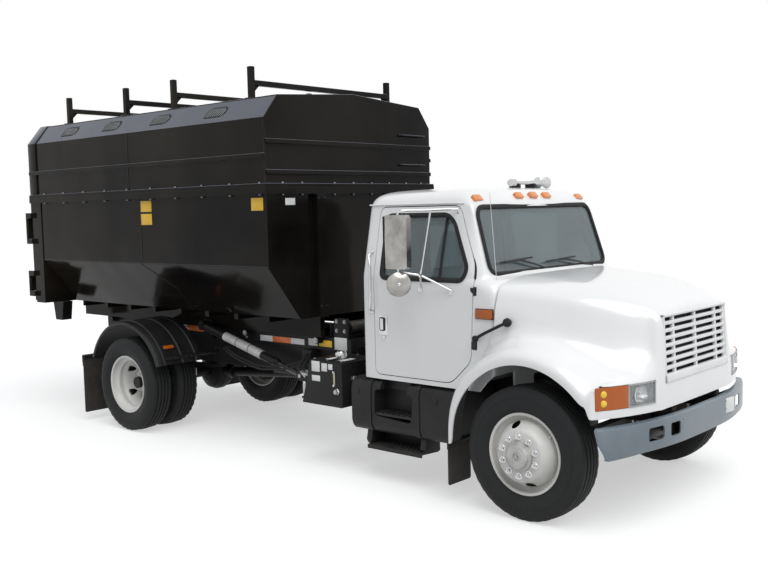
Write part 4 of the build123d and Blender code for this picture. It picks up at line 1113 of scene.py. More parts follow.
cab_corner = 0.06
wall_front = [(-0.500, 0.985), (-0.400, 0.985), (-0.362, 0.976), (-0.352, 0.935), (-0.352, 0.50),
              (-0.352, 0)]
cab_loops = [loop(z, 0, cab_half_width, cab_corner, wall_front) for z in (0.860, 0.885, 1.25, 1.52)]
cowl_levels = (
    # height, half width, then the points round the front
    (1.615, 0.985, [(-0.520, 0.985), (-0.410, 0.980), (-0.354, 0.972), (-0.352, 0.930),
                    (-0.352, 0.50), (-0.352, 0)]),
    (1.668, 0.984, [(-0.540, 0.982), (-0.440, 0.966), (-0.362, 0.925), (-0.352, 0.860),
                    (-0.352, 0.50), (-0.352, 0)]),
    (1.700, 0.984, [(-0.575, 0.974), (-0.480, 0.948), (-0.405, 0.890), (-0.360, 0.780),
                    (-0.356, 0.45), (-0.356, 0)]),
    (1.716, side_y(1.716), [(-0.590, 0.970), (-0.500, 0.943), (-0.448, 0.888), (-0.434, 0.800),
                            (-0.426, 0.45), (-0.424, 0)]),
)
for z, half, cowl_front in cowl_levels:
    cab_loops.append(loop(z, 0, half, cab_corner, cowl_front))
for z in (1.745, 1.87, 2.06, 2.20, 2.262):
    up_part = (z - glass_foot[1]) / glass_rise
    edge_x = glass_foot[0] - glass_rake * up_part
    edge_y = 0.890 - 0.030 * up_part
    half = side_y(z)
    pillar = 0.13 - 0.05 * up_part
    pillar_front = [(edge_x - pillar, half - 0.001),
                    (edge_x - pillar * 0.45, half * 0.6 + edge_y * 0.4 + 0.002)]
    pillar_front += [(edge_x - 0.012, edge_y + 0.004), (edge_x + 0.003, edge_y - 0.070)]
    pillar_front += [(edge_x + 0.014, 0.45), (edge_x + 0.018, 0)]
    cab_loops.append(loop(z, 0, half, cab_corner, pillar_front))
roof_levels = (
    # height, inset of the rear wall, half width, corner, then the points round the front
    (2.290, 0, 0.861, 0.07, [(-0.745, 0.860), (-0.690, 0.855), (-0.650, 0.835), (-0.632, 0.760),
                             (-0.616, 0.45), (-0.612, 0)]),
    (2.330, 0.003, 0.838, 0.08, [(-0.780, 0.838), (-0.715, 0.832), (-0.682, 0.806), (-0.664, 0.730),
                                 (-0.652, 0.43), (-0.650, 0)]),
    (2.372, 0.022, 0.778, 0.10, [(-0.860, 0.778), (-0.780, 0.768), (-0.740, 0.742), (-0.722, 0.670),
                                 (-0.712, 0.40), (-0.710, 0)]),
    (2.396, 0.070, 0.660, 0.12, [(-0.960, 0.660), (-0.880, 0.650), (-0.835, 0.620), (-0.815, 0.560),
                                 (-0.805, 0.34), (-0.803, 0)]),
    (2.408, 0.200, 0.430, 0.12, [(-1.090, 0.430), (-1.020, 0.424), (-0.985, 0.405), (-0.965, 0.360),
                                 (-0.955, 0.22), (-0.953, 0)]),
)
for z, inset, half, corner, roof_front in roof_levels:
    cab_loops.append(loop(z, inset, half, corner, roof_front))
cab_loops.append([(-1.25 + (x + 1.25) * 0.72, y * 0.60, 2.4115) for x, y, z in cab_loops[-1]])


def cab_skin():
    """The whole skin as a smooth sheet in a new Blender object, rear wall and firewall included."""
    skin = Shape()
    skin.loft(cab_loops, closed=False)
    across = len(cab_loops[0])
    top_first = (len(cab_loops) - 1) * across
    half_count = len(skin.points)
    skin.both()
    roof_ring = [top_first + at for at in range(across)]
    roof_ring += [half_count + top_first + at for at in range(across - 2, 0, -1)]
    skin.faces.append(roof_ring)
    mesh = bpy.data.meshes.new("skin")
    mesh.from_pydata([(x + front_axle_x, y, z) for x, y, z in skin.points], [], skin.faces)
    form = bmesh.new()
    form.from_mesh(mesh)
    bmesh.ops.remove_doubles(form, verts=form.verts[:], dist=0.0005)
    bmesh.ops.dissolve_degenerate(form, edges=form.edges[:], dist=0.0005)
    bmesh.ops.recalc_face_normals(form, faces=form.faces[:])
    if sum(face.normal.z * face.calc_area() for face in form.faces) < 0:
        bmesh.ops.reverse_faces(form, faces=form.faces[:])
    form.to_mesh(mesh)
    form.free()
    piece = bpy.data.objects.new("skin", mesh)
    bpy.context.collection.objects.link(piece)
    piece.modifiers.new("soft", "SUBSURF").levels = 2
    wall = piece.modifiers.new("wall", "SOLIDIFY")
    wall.thickness = 0.018
    wall.offset = -1.0
    settle(piece, 40)
    return piece


def adopt(piece, name, body, surfaces, replaces=()):
    """Names and dresses an object whose mesh is ready."""
    piece.name = name
    piece.data.name = name
    piece.data.materials.clear()
    for surface in surfaces:
        piece.data.materials.append(surface)
    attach(piece, body)
    if replaces:
        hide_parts(*replaces)


def grown(outline, amount):
    """The closed outline moved out sideways by an amount."""
    count = len(outline)
    turn_way = sum(outline[at - 1][0] * outline[at][1] - outline[at][0] * outline[at - 1][1]
                   for at in range(count))
    sign = 1.0 if turn_way > 0 else -1.0
    moved = []
    for at in range(count):
        before = Vector(outline[at - 1])
        here = Vector(outline[at])
        after = Vector(outline[(at + 1) % count])
        first = (here - before).normalized()
        second = (after - here).normalized()
        normal = Vector((first.y + second.y, -first.x - second.x)) * sign
        normal.normalize()
        reach = amount / max(0.5, abs(normal.dot(Vector((first.y, -first.x)) * sign)))
        moved.append(tuple(here + normal * reach))
    return moved


def band(shape, outline, profile, place, slot=0):
    """A profile of (outward, height) points swept round a closed outline; place() gives x, y, z."""
    rings = []
    for outward, height in profile:
        rings.append([place(first, second, height) for first, second in grown(outline, outward)])
    shape.loft(rings, slot, around=True)


door_sketch = [(-1.542, 0.902), (-0.764, 0.902), (-0.573, 1.085), (-0.540, 1.785), (-0.735, 2.262),
               (-1.545, 2.262)]
door_line = rounded_outline(door_sketch, 0.060, 6)
window_sketch = [(-1.465, 1.695), (-0.655, 1.695), (-0.612, 1.785), (-0.775, 2.135), (-0.850, 2.195),
                 (-1.465, 2.195)]
window_line = rounded_outline(window_sketch, 0.055, 6)
glass_corners = [(-0.868, 1.742), (0.868, 1.742), (0.834, 2.250), (-0.834, 2.250)]
glass_line = rounded_outline(glass_corners, 0.090, 8)
rear_glass_line = rounded_outline([(-0.560, 1.690), (0.560, 1.690), (0.540, 2.110), (-0.540, 2.110)],
                                  0.060, 6)
shell = cab_skin()
door_holes = Shape()
wheel_rooms = Shape()
hinge_pockets = Shape()
room_radius = 0.62
room_angles = [2 * pi * step / 48 for step in range(48)]
wheel_room = [(room_radius * cos(angle), wheel_radius + room_radius * sin(angle)) for angle in room_angles]
door_gap = 0.007
for way in (1, -1):
    door_holes.prism(grown(door_line, door_gap), "y", side_span(way, 0.70, 1.10))
    wheel_rooms.prism(wheel_room, "y", side_span(way, 0.72, 1.10))
    for z in (1.210, 1.620):
        hinge_pockets.block((-0.578, -0.512), side_span(way, 0.963, 1.03), (z - 0.034, z + 0.034))
other_holes = Shape()
other_holes.prism(glass_line, "x", (-0.80, -0.38))
other_holes.prism(rear_glass_line, "x", (-1.80, -1.60))
other_holes.block((-1.80, -0.20), (-0.46, 0.46), (0.60, 0.940))
for cutter in (door_holes, wheel_rooms, hinge_pockets, other_holes):
    carve(shell, cutter)
adopt(shell, "cab_shell", "chassis", [cab_white],
      ["cab_roof", "cab_sides", "cab_back", "cab_cowl"])


def on_side(way, inset):
    """Places an outline of (x, z) on the cab's sloped side, the inset below its skin."""
    return lambda x, z, height: (x, way * (side_y(z) - inset + height), z)


def on_windshield(y, z, height):
    """Places an outline of (y, z) on the raked windshield, which is a little bowed."""
    up_part = (z - glass_foot[1]) / glass_rise
    bow = 0.018 * (1 - (y / 0.88) ** 2)
    return (glass_foot[0] - glass_rake * up_part + bow + height * 0.95, y, z + height * 0.30)


# Doors: steel shells with a rolled edge, hinged on two pins in the front pillar, each with a
# chromed paddle handle over its key cylinder, and rubber round its window.
rubber_black = finish("rubber_black", (0.010, 0.010, 0.011), (0.022, 0.022, 0.022), (0.5, 0.75), patch=6.0,
                      grain=160.0, depth=0.0004, shine=0.25)
black_plastic = finish("black_plastic", (0.012, 0.012, 0.013), (0.028, 0.028, 0.029), (0.35, 0.6),
                       patch=4.0, grain=260.0, depth=0.0005, shine=0.3)
window_glass = glassy("window_glass", (0.30, 0.37, 0.39), 0.02, 0.70)
window_glass.node_tree.nodes["Principled BSDF"].inputs["IOR"].default_value = 1.5
for side, way in (("left", 1), ("right", -1)):
    door = cab_skin()
    for line, kind in ((door_line, "INTERSECT"), (window_line, "DIFFERENCE")):
        cutter = Shape()
        cutter.prism(line, "y", side_span(way, 0.70, 1.10))
        carve(door, cutter, kind)
    adopt(door, "door_shell_" + side, "cab_door_" + side, [cab_white], ["door_" + side])
    fittings = Shape()
    rim_profile = [(-0.004, 0.006), (0.010, 0.007), (0.019, 0.004), (0.021, -0.004), (0.004, -0.006),
                   (-0.012, -0.024), (-0.018, -0.022), (-0.016, -0.006)]
    band(fittings, window_line, rim_profile, on_side(way, 0.0), 0)
    bar_y = [way * (side_y(z) - 0.012) for z in (1.70, 2.19)]
    fittings.tube([(-0.872, bar_y[0], 1.70), (-0.860, bar_y[1], 2.19)], 0.010, slot=0)
    for z in (1.210, 1.620):
        fittings.turned([(-0.028, 0.010), (0.028, 0.010)], (-0.528, way * 0.985, z), "z", 1, 16)
        fittings.block((-0.570, -0.528), side_span(way, 0.978, 0.984), (z - 0.026, z + 0.026), 0.002, 1)
    # The handle: a chromed paddle standing in a dished plate, over the key cylinder
    plate = rounded_outline([(-1.495, 1.232), (-1.402, 1.228), (-1.402, 1.386), (-1.495, 1.390)], 0.014, 4)
    fittings.prism(plate, "y", side_span(way, 0.980, 0.990), 0.003, 2)
    paddle = rounded_outline([(-1.480, 1.262), (-1.428, 1.260), (-1.428, 1.372), (-1.480, 1.374)], 0.012, 4)
    fittings.prism(paddle, "y", side_span(way, 0.988, 1.001), 0.004, 1)
    fittings.prism(grown(paddle, -0.010), "y", side_span(way, 1.000, 1.004), 0.002, 2)
    fittings.turned([(0, 0.013), (0.010 * way, 0.011), (0.010 * way, 0)], (-1.440, way * 0.984, 1.208),
                    "y", 2, 16)
    fittings.done("door_fittings_" + side, "cab_door_" + side, "black_plastic",
                  [rubber_black, black_plastic, chrome])
    pane = Shape()
    pane.prism(grown(window_line, -0.004), "y", (0.0, 0.005))
    pane.points = [(x, way * (side_y(z) - 0.026 + y), z) for x, y, z in pane.points]
    pane.done("door_pane_" + side, "cab_door_" + side, "glass", [window_glass], ["door_glass_" + side])

# Windshield and rear window: tinted laminated glass set in black rubber, with two wipers on the
# cowl, five amber roof lamps, a whip aerial, side lamps and chromed grab handles behind the doors.
cab_trim = Shape()
glass_rim = [(-0.013, 0.004), (-0.004, 0.010), (0.008, 0.010), (0.018, 0.005), (0.020, -0.004),
             (0.004, -0.010), (-0.008, -0.022), (-0.014, -0.018)]
marker_amber = finish("marker_amber", (0.68, 0.21, 0.05), (0.80, 0.27, 0.07), (0.15, 0.3), patch=9.0,
                      grain=400.0, depth=0.0004, coat=0.3)
band(cab_trim, glass_line, glass_rim, on_windshield, 0)


def on_rear(y, z, height):
    """Places an outline of (y, z) on the cab's rear wall."""
    return (cab_rear_x - height, y, z)


def tipped(place, angle):
    """Moves a piece made at the origin to a place, its front tipped down by an angle."""
    x0, y0, z0 = place
    return lambda x, y, z: (x0 + x * cos(angle) + z * sin(angle), y0 + y,
                            z0 - x * sin(angle) + z * cos(angle))


rear_rim = [(-0.018, 0.003), (0.0, 0.006), (0.018, 0.003), (0.018, -0.003), (0.0, -0.006), (-0.018, -0.020)]
band(cab_trim, rear_glass_line, rear_rim, on_rear, 0)
blade = 0.222
for foot, tip in (((-0.446, -0.077, 1.722), (-0.470, -0.520, 1.836)),
                  ((-0.440, 0.605, 1.716), (-0.462, 0.125, 1.810))):
    cab_trim.turned([(-0.02, 0.016), (0.012, 0.015), (0.018, 0.010), (0.018, 0)], foot, "z", 1, 14)
    halfway = [(a + b) / 2 for a, b in zip(foot, tip)]
    arm = [(foot[0] + 0.002, foot[1], foot[2] + 0.012),
           (halfway[0] + 0.020, halfway[1], halfway[2] + 0.012)]
    arm.append((tip[0] + 0.014, tip[1], tip[2]))
    cab_trim.tube(arm, 0.0065, 0.05, 1, 8)
    low = (tip[0] + 0.010, tip[1] - blade, tip[2] - 0.012)
    high = (tip[0] + 0.010, tip[1] + blade, tip[2] + 0.006)
    cab_trim.tube([low, high], 0.0045, slot=0, count=8, flat=1.8)
    bridge = []
    for part, height, rise in ((0.15, 0.008, 0.007), (0.5, 0.018, 0.018), (0.85, 0.008, 0.007)):
        x, y, z = (low[i] + (high[i] - low[i]) * part for i in range(3))
        cab_trim.block((x + 0.002, x + height), (y - 0.012, y + 0.012), (z - 0.006, z + 0.006), 0.002, 1)
        bridge.append((x + rise, y, z))
    cab_trim.tube(bridge, 0.004, 0.05, 1, 8)
lens = Shape()
lens_outline = [(-0.055, -0.027), (0.055, -0.027), (0.047, 0.027), (-0.047, 0.027)]
lens.prism(rounded_outline(lens_outline, 0.010, 3), "x", (-0.030, 0.006), 0.003, 5, 3)
for y, x, z in ((0.757, -0.655, 2.323), (0.207, -0.640, 2.340), (0.0, -0.637, 2.342)):
    for way in (1, -1) if y else (1,):
        cab_trim.join(lens, tipped((x, way * y, z), radians(-40)))
cab_trim.tube([(-0.404, -0.868, 1.668), (-0.406, -0.870, 1.692)], 0.011, slot=1)
cab_trim.tube([(-0.406, -0.870, 1.692), (-0.450, -0.884, 2.355)], 0.0022, slot=3, count=8)
for way in (1, -1):
    cab_trim.prism(rounded_box((-0.518, -0.366), (1.418, 1.487), 0.008, 3), "y",
                   side_span(way, 0.980, 1.000), 0.003, 2)
    cab_trim.block((-0.524, -0.360), side_span(way, 0.978, 0.988), (1.412, 1.493), 0.003, 1)
    handle = [(-1.566, way * 0.978, 1.416), (-1.566, way * 1.024, 1.430), (-1.548, way * 1.030, 1.50),
              (-1.558, way * 1.012, 1.78), (-1.590, way * 0.995, 1.880), (-1.590, way * 0.940, 1.902)]
    cab_trim.tube(handle, 0.0095, 0.03, 3, 12)
    foot_cap = sided([(0, 0.018), (0.008, 0.016), (0.010, 0)], way)
    for x, y, z in ((-1.566, 0.984, 1.416), (-1.590, 0.944, 1.902)):
        cab_trim.turned(foot_cap, (x, way * y, z), "y", 3, 16)
    # The drip rail: a folded strip along the roof's edge
    cab_trim.tube([(-0.700, way * 0.862, 2.281), (-0.80, way * 0.868, 2.284),
                   (-1.672, way * 0.868, 2.284)], 0.0065, 0.04, 4, 10)
    # The rubber seal round the door opening
    seal = [(-0.010, -0.012), (0.006, -0.012), (0.006, -0.024), (-0.010, -0.024)]
    band(cab_trim, grown(door_line, 0.004), seal, on_side(way, 0.008), 0)
trim_surfaces = [rubber_black, black_plastic, amber, chrome, cab_white, marker_amber]
cab_trim.done("cab_trim", "chassis", "black_plastic", trim_surfaces)
panes = Shape()
panes.prism(grown(glass_line, 0.002), "x", (0.0, 0.006), 0, 0)
panes.points = [on_windshield(y, z, -0.010 - x) for x, y, z in panes.points]
rear_pane = Shape()
rear_pane.prism(grown(rear_glass_line, 0.002), "x", (cab_rear_x + 0.006, cab_rear_x + 0.011), 0, 0)
panes.join(rear_pane)
panes.done("cab_panes", "chassis", "glass", [window_glass], ["cab_glass"])

# Hood latches: a rubber strap with ball ends each side, which pulls the hood against the cab.
latches = Shape()
for way in (1, -1):
    strap = [(-0.212, way * 1.034, 1.408), (-0.300, way * 1.046, 1.366), (-0.421, way * 1.034, 1.311),
             (-0.503, way * 1.018, 1.270)]
    latches.tube(strap, 0.012, 0.05, 0, 12)
    upper_ball = [(-0.020, 0.020), (0.010, 0.034), (0.030, 0.030), (0.038, 0.020), (0.040, 0)]
    latches.turned(sided(upper_ball, way), (-0.212, way * 1.010, 1.408), "y", 0, 20)
    lower_ball = [(-0.012, 0.016), (0.004, 0.026), (0.018, 0.024), (0.026, 0.012), (0.026, 0)]
    latches.turned(sided(lower_ball, way), (-0.508, way * 1.006, 1.266), "y", 0, 20)
latches.done("hood_latches", "tilting_hood", "rubber", [rubber_black])

# Air horns: two chromed trumpets of unlike length with their drivers, on a foot on the roof.
horns = Shape()
for y0, length, x in ((0.150, 0.560, -0.955), (0.215, 0.440, -1.010)):
    bell = [(0, 0), (0, 0.030), (0.050, 0.032), (0.062, 0.020), (0.100, 0.014), (length * 0.55, 0.016),
            (length * 0.80, 0.022), (length * 0.92, 0.034), (length, 0.052), (length + 0.003, 0.050),
            (length * 0.93, 0.030), (length * 0.80, 0.014), (length * 0.80, 0)]
    horns.turned(bell, (x, y0, 2.452), "y", 0, 28)
for y in (0.25, 0.50):
    horns.block((-1.035, -0.930), (y - 0.014, y + 0.014), (2.405, 2.440), 0.003, 1)
horns.done("air_horns", "chassis", "chrome", [chrome, black_plastic], ["air_horn"])

# Inside the cab: a moulded grey dashboard and trim, a steering wheel with a padded rim, and two
# air seats with foam cushions under woven cloth, on black pedestals.
trim_grey = finish("trim_grey", (0.075, 0.080, 0.085), (0.11, 0.115, 0.12), (0.55, 0.75), patch=5.0,
                   grain=420.0, depth=0.0006)
seat_cloth = finish("seat_cloth", (0.085, 0.095, 0.115), (0.13, 0.14, 0.165), (0.8, 0.95), patch=7.0,
                    grain=700.0, depth=0.0012)
dress(trim_grey, "dashboard", "cab_floor")
dress(black_plastic, "steering_wheel")
pedestals = Shape()
for way in (1, -1):
    pedestals.block((-1.40, -1.08), side_span(way, 0.33, 0.67), (0.99, 1.05), 0.01)
    pedestals.prism([(-1.38, 1.05), (-1.10, 1.05), (-1.14, 1.17), (-1.34, 1.17)], "y",
                    side_span(way, 0.36, 0.64), 0.01, 0)
    pedestals.block((-1.44, -1.03), side_span(way, 0.28, 0.72), (1.165, 1.185), 0.006)
pedestals.done("seat_pedestals", "chassis", "black_plastic", [black_plastic], ["seats"])


cushion_voxel = 0.010
most_swell = 0.026
foam_pressure = 4.0
foam_frames = 20


def cushion(name, outline, span):
    """A foam cushion: its rough form is inflated as cloth, held to a most swell, then smoothed."""
    form = Shape()
    form.prism(rounded_outline(outline, 0.05, 4), "y", span, 0.03)
    piece = form.done(name, "chassis", "seat_cloth", [seat_cloth])
    grid = piece.modifiers.new("even", "REMESH")
    grid.mode = "VOXEL"
    grid.voxel_size = cushion_voxel
    settle(piece, 60)
    before = [point.co.copy() for point in piece.data.vertices]
    foam = piece.modifiers.new("foam", "CLOTH")
    foam.settings.use_pressure = True
    foam.settings.uniform_pressure_force = foam_pressure
    foam.settings.tension_stiffness = 40.0
    foam.settings.effector_weights.gravity = 0.0
    foam.point_cache.frame_start = 1
    foam.point_cache.frame_end = foam_frames
    for frame_now in range(1, foam_frames + 1):
        bpy.context.scene.frame_set(frame_now)
        bpy.context.view_layer.update()
    settle(piece, 60)
    bpy.context.scene.frame_set(1)
    for point, start in zip(piece.data.vertices, before):
        swell = point.co - start
        if swell.length > most_swell:
            point.co = start + swell * (most_swell / swell.length)
    piece.modifiers.new("smooth", "SUBSURF").levels = 1
    settle(piece, 60)


for side, way in (("left", 1), ("right", -1)):
    span = side_span(way, 0.265, 0.735)
    cushion("seat_base_" + side, [(-1.470, 1.190), (-0.990, 1.190), (-0.985, 1.270), (-1.470, 1.262)], span)
    cushion("seat_back_" + side, [(-1.395, 1.275), (-1.480, 1.275), (-1.598, 1.850), (-1.520, 1.862)], span)

# Mirrors: polished stainless heads with a pressed cross on the back, a round wide-angle glass
# below, on bent steel tubes bolted to the door.
polished = finish("polished_steel", (0.24, 0.23, 0.22), (0.46, 0.45, 0.43), (0.12, 0.28), patch=7.0,
                  grain=90.0, depth=0.0006, metal=1.0)
mirror_glass = finish("mirror_glass", (0.85, 0.86, 0.87), (0.90, 0.90, 0.90), (0.01, 0.03), patch=2.0,
                      grain=8.0, depth=0.00005, metal=1.0)
for side, way in (("left", 1), ("right", -1)):
    mirror = Shape()
    y_mid = way * 1.258
    sketch = rounded_box((-1.160, -0.938), (1.792, 2.203), 0.022, 4)
    mirror.prism(sketch, "y", (y_mid - 0.022, y_mid + 0.034), 0.004, 0, 2)
    # The pressed cross: a shallow pyramid on the broad front face
    middle = (-1.049, 1.998)
    for low, high in (((-1.150, 1.812), (-0.948, 1.812)), ((-0.948, 2.184), (-1.150, 2.184)),
                      ((-0.948, 1.812), (-0.948, 2.184)), ((-1.150, 2.184), (-1.150, 1.812))):
        face_y = y_mid + way * (0.034 if way > 0 else 0.022)
        tip = (middle[0], face_y + way * 0.014, middle[1])
        first = len(mirror.points)
        mirror.points += [(low[0], face_y, low[1]), (high[0], face_y, high[1]), tip,
                          (middle[0], y_mid, middle[1])]
        mirror.faces += [[first, first + 1, first + 2], [first + 1, first, first + 3],
                         [first + 2, first + 1, first + 3], [first, first + 2, first + 3]]
        mirror.slots += [0, 0, 0, 0]
    mirror.block((-1.172, -1.158), sorted((y_mid - 0.026, y_mid + 0.040)), (1.800, 2.195), 0.003, 3)
    mirror.block((-1.1745, -1.1715), sorted((y_mid - 0.020, y_mid + 0.034)), (1.808, 2.187), 0.001, 2)
    # The round head turns its convex back half outward
    round_head = Shape()
    round_head.turned([(-0.012, 0.0), (-0.012, 0.093), (-0.004, 0.096), (0.006, 0.092), (0.020, 0.066),
                       (0.028, 0.034), (0.030, 0)], (0, 0, 0), "x", 0, 40)
    round_head.turned([(-0.014, 0.0), (-0.014, 0.086), (-0.011, 0.088), (-0.011, 0)], (0, 0, 0), "x", 2, 40)
    round_head.turned([(0.028, 0.012), (0.034, 0.011), (0.037, 0.006), (0.037, 0)], (0, 0, 0), "x", 1, 16)
    mirror.join(round_head, headed((-1.036, way * 1.262, 1.676), way * radians(45)))
    top = (-0.860, way * 1.080, 2.236)
    post_x = -1.050
    post_y = way * 1.250
    hub = (-0.930, way * 1.130, 1.740)
    mirror.tube([(-0.755, way * 0.872, 2.236), (-0.800, way * 0.95, 2.240), top, (post_x, post_y, 2.236),
                 (post_x, post_y, 1.600)], 0.0095, 0.05, 1, 12)
    mirror.tube([(post_x, post_y, 1.770), hub], 0.0085, 0, 1)
    for end in ((-1.050, way * 0.985, 1.626), (-0.745, way * 0.985, 1.617), top):
        mirror.tube([hub, end], 0.0085, 0, 1)
    mirror.turned([(-0.016, 0.014), (0.016, 0.014)], hub, "y", 1, 14)
    for x, y, z in ((-1.050, 0.985, 1.626), (-0.745, 0.985, 1.617), (-0.755, 0.872, 2.236)):
        foot = rounded_box((x - 0.018, x + 0.018), (z - 0.032, z + 0.020), 0.014, 3)
        mirror.prism(foot, "y", side_span(way, y - 0.002, y + 0.008), 0.001, 1)
        screw = sided([(0, 0.009), (0.012, 0.009), (0.014, 0)], way)
        mirror.turned(screw, (x, way * y, z - 0.018), "y", 1, 6)
    mirror.done("mirror_set_" + side, "cab_door_" + side, "chrome",
                [polished, chrome, mirror_glass, rubber_black], ["mirror_" + side])

# Fuel tank (right) and battery box (left): welded tanks behind moulded black plastic fairings,
# with a step pocket in the middle, two strap ridges and a hanging step of punched tread plate.
tread_black = finish("tread_black", (0.010, 0.010, 0.010), (0.028, 0.028, 0.028), (0.4, 0.7), patch=6.0,
                     grain=60.0, depth=0.0015, dust=0.2, shine=0.18)
fairing_black = finish("fairing_black", (0.010, 0.010, 0.011), (0.022, 0.022, 0.023), (0.30, 0.50),
                       patch=3.0, grain=420.0, depth=0.0005, dust=0.1, shine=0.2)
outer = 1.018
section = [(0.500, 0.422), (0.900, 0.402), (0.985, 0.414), (outer, 0.477)]
section += [(outer, 0.770), (0.995, 0.828), (0.940, 0.852), (0.500, 0.852)]
section = rounded_outline(section, 0.050, 5)
for side, way, name in (("right", -1, "fuel_tank"), ("left", 1, "battery_box")):
    fairing = Shape()
    fairing.prism([(way * y, z) for y, z in section], "x", (-1.798, -0.702), 0.022, 0, 3)
    shell_piece = fairing.done("tank_fairing_" + side, "chassis", "black_plastic", [fairing_black], [name])
    pocket = Shape()
    pocket.prism(rounded_outline([(-1.545, 0.556), (-1.150, 0.530), (-1.130, 0.760), (-1.535, 0.778)],
                                 0.040, 4), "y", side_span(way, 0.860, 1.10), 0.0)
    carve(shell_piece, pocket)
    if way < 0:
        notch = Shape()
        notch.prism(rounded_box((-1.480, -1.190), (0.70, 0.90), 0.03, 3), "y",
                    (-1.10, -0.905), 0.0)
        carve(shell_piece, notch)
    trim = Shape()
    trim.block((-1.540, -1.140), side_span(way, 0.862, 1.012), (0.560, 0.580), 0.004, 1)
    for number in range(7):
        x = -1.515 + number * 0.058
        rung = rounded_box((x, x + 0.034), (way * 0.885, way * 1.000), 0.012, 2)
        trim.prism(rung, "z", (0.579, 0.587), 0.002, 1)
    for x in (-1.600, -1.085):
        ridge = []
        for y, z in section:
            outward = 0.008 if y > 0.92 else 0
            upward = 0.006 if z > 0.8 else (-0.004 if z < 0.45 else 0)
            ridge.append((way * (y + outward), z + upward))
        trim.prism(ridge, "x", (x - 0.024, x + 0.024), 0.004, 0)
    plug = sided([(-0.01, 0.030), (0.004, 0.030), (0.009, 0.024), (0.009, 0)], way)
    for x in (-0.905, -1.735):
        trim.turned(plug, (x, way * outer, 0.742), "y", 0, 20)
    # The hanging step: two bent straps and a tread with a turned-down lip and rows of teeth
    for x0, x1 in ((-1.672, -1.612), (-1.092, -1.032)):
        trim.prism([(way * 0.790, 0.425), (way * 0.960, 0.440), (way * 0.985, 0.330), (way * 0.960, 0.288),
                    (way * 0.790, 0.288)], "x", (x0, x1), 0.010, 0)
    trim.block((-1.650, -1.050), side_span(way, 0.792, 0.806), (0.290, 0.430), 0.003, 0)
    tread = [(-1.668, way * 0.800), (-1.028, way * 0.800), (-1.060, way * 1.005), (-1.636, way * 1.005)]
    trim.prism(rounded_outline(tread, 0.03, 3), "z", (0.285, 0.300), 0.003, 2)
    trim.prism([(-1.640, way * 0.996), (-1.056, way * 0.996), (-1.056, way * 1.006),
                (-1.640, way * 1.006)], "z", (0.264, 0.300), 0.003, 2)
    for row in range(4):
        for number in range(13):
            x = -1.620 + number * 0.045 + (row % 2) * 0.015
            y = way * (0.835 + row * 0.042)
            trim.turned([(0, 0.013), (0.005, 0.011), (0.006, 0.006), (0.003, 0.004), (0.003, 0)],
                        (x, y, 0.299), "z", 2, 8)
    if way < 0:
        trim.turned([(0, 0.040), (0.020, 0.040), (0.030, 0.034), (0.032, 0)], (-0.800, -0.860, 0.846),
                    "z", 0, 24)
    trim.done("tank_trim_" + side, "chassis", "black_plastic", [fairing_black, black_plastic, tread_black])

# Hydraulic tank: a folded and welded steel tank on its bracket, with a chromed breather cap, a
# sight gauge, blank printed plates, and steel lines with crimped ends to the valve.
patch_white = finish("patch_white", (0.72, 0.73, 0.73), (0.84, 0.84, 0.83), (0.3, 0.45), patch=9.0,
                     grain=300.0)
patch_yellow = finish("patch_yellow", (0.80, 0.46, 0.02), (0.90, 0.56, 0.04), (0.3, 0.45), patch=9.0,
                      grain=300.0)
gauge_clear = glassy("gauge_clear", (0.75, 0.66, 0.40), 0.05, 0.5)
tank = Shape()
tank_side = [(-2.4215, 0.560), (-1.927, 0.560), (-1.927, 0.951), (-2.310, 0.951)]
tank.prism(rounded_outline(tank_side, 0.012, 3), "y", (-0.998, -0.562), 0.010, 0, 3)
tank.block((-2.300, -1.940), (-0.985, -0.575), (0.949, 0.957), 0.003, 0)
lid_bolts = [(x, y, 0.957) for y in (-0.97, -0.59) for x in (-2.28, -1.955, -2.12)]
ring_of_bolts(tank, lid_bolts, "z", 0.009, 0.007, 1)
cap_x = -2.076
cap_y = -0.844
cap_radius = 0.046
cap = [(0, 0.030), (0.012, 0.030), (0.013, 0.044), (0.020, cap_radius), (0.060, cap_radius),
       (0.068, 0.040), (0.070, 0)]
tank.turned(cap, (cap_x, cap_y, 0.956), "z", 2, 32)
for step in range(16):
    angle = 2 * pi * step / 16
    grip_x = cap_x + cap_radius * cos(angle)
    grip_y = cap_y + cap_radius * sin(angle)
    tank.bar((grip_x, grip_y, 0.980), (grip_x, grip_y, 1.012), 0.0035, 2, 6)
tank.block((-2.021, -2.001), (-1.010, -0.996), (0.744, 0.874), 0.003, 2)
tank.block((-2.017, -2.005), (-1.013, -1.009), (0.760, 0.858), 0.001, 4)
for z in (0.750, 0.868):
    tank.turned([(0, 0.010), (-0.010, 0.010), (-0.012, 0.006), (-0.012, 0)], (-2.011, -1.009, z), "y", 2, 6)
for x0, x1, z0, z1 in ((-2.290, -2.192, 0.852, 0.943), (-2.169, -2.102, 0.862, 0.932),
                       (-2.0875, -2.037, 0.882, 0.930), (-2.290, -2.190, 0.768, 0.818)):
    tank.block((x0, x1), (-1.0005, -0.997), (z0, z1), 0.0005, 3)
for x0, x1, y0, y1 in ((-2.19, -2.13, -0.93, -0.80), (-2.03, -1.96, -0.93, -0.78)):
    tank.block((x0, x1), (y0, y1), (0.957, 0.9585), 0.0005, 3)
tank.turned([(0, 0.030), (-0.012, 0.030), (-0.020, 0.022), (-0.034, 0.022), (-0.036, 0)],
            (-1.980, -0.998, 0.700), "y", 1, 6)
tank.bar((-2.450, -0.930, 0.600), (-2.450, -0.930, 0.740), 0.020, 2, 20)
tank.bar((-2.450, -0.930, 0.620), (-2.450, -0.930, 0.720), 0.0215, 3, 20)
for z in ((0.735, 0.760), (0.582, 0.602)):
    tank.block((-2.475, -2.410), (-0.955, -0.905), z, 0.004, 0)
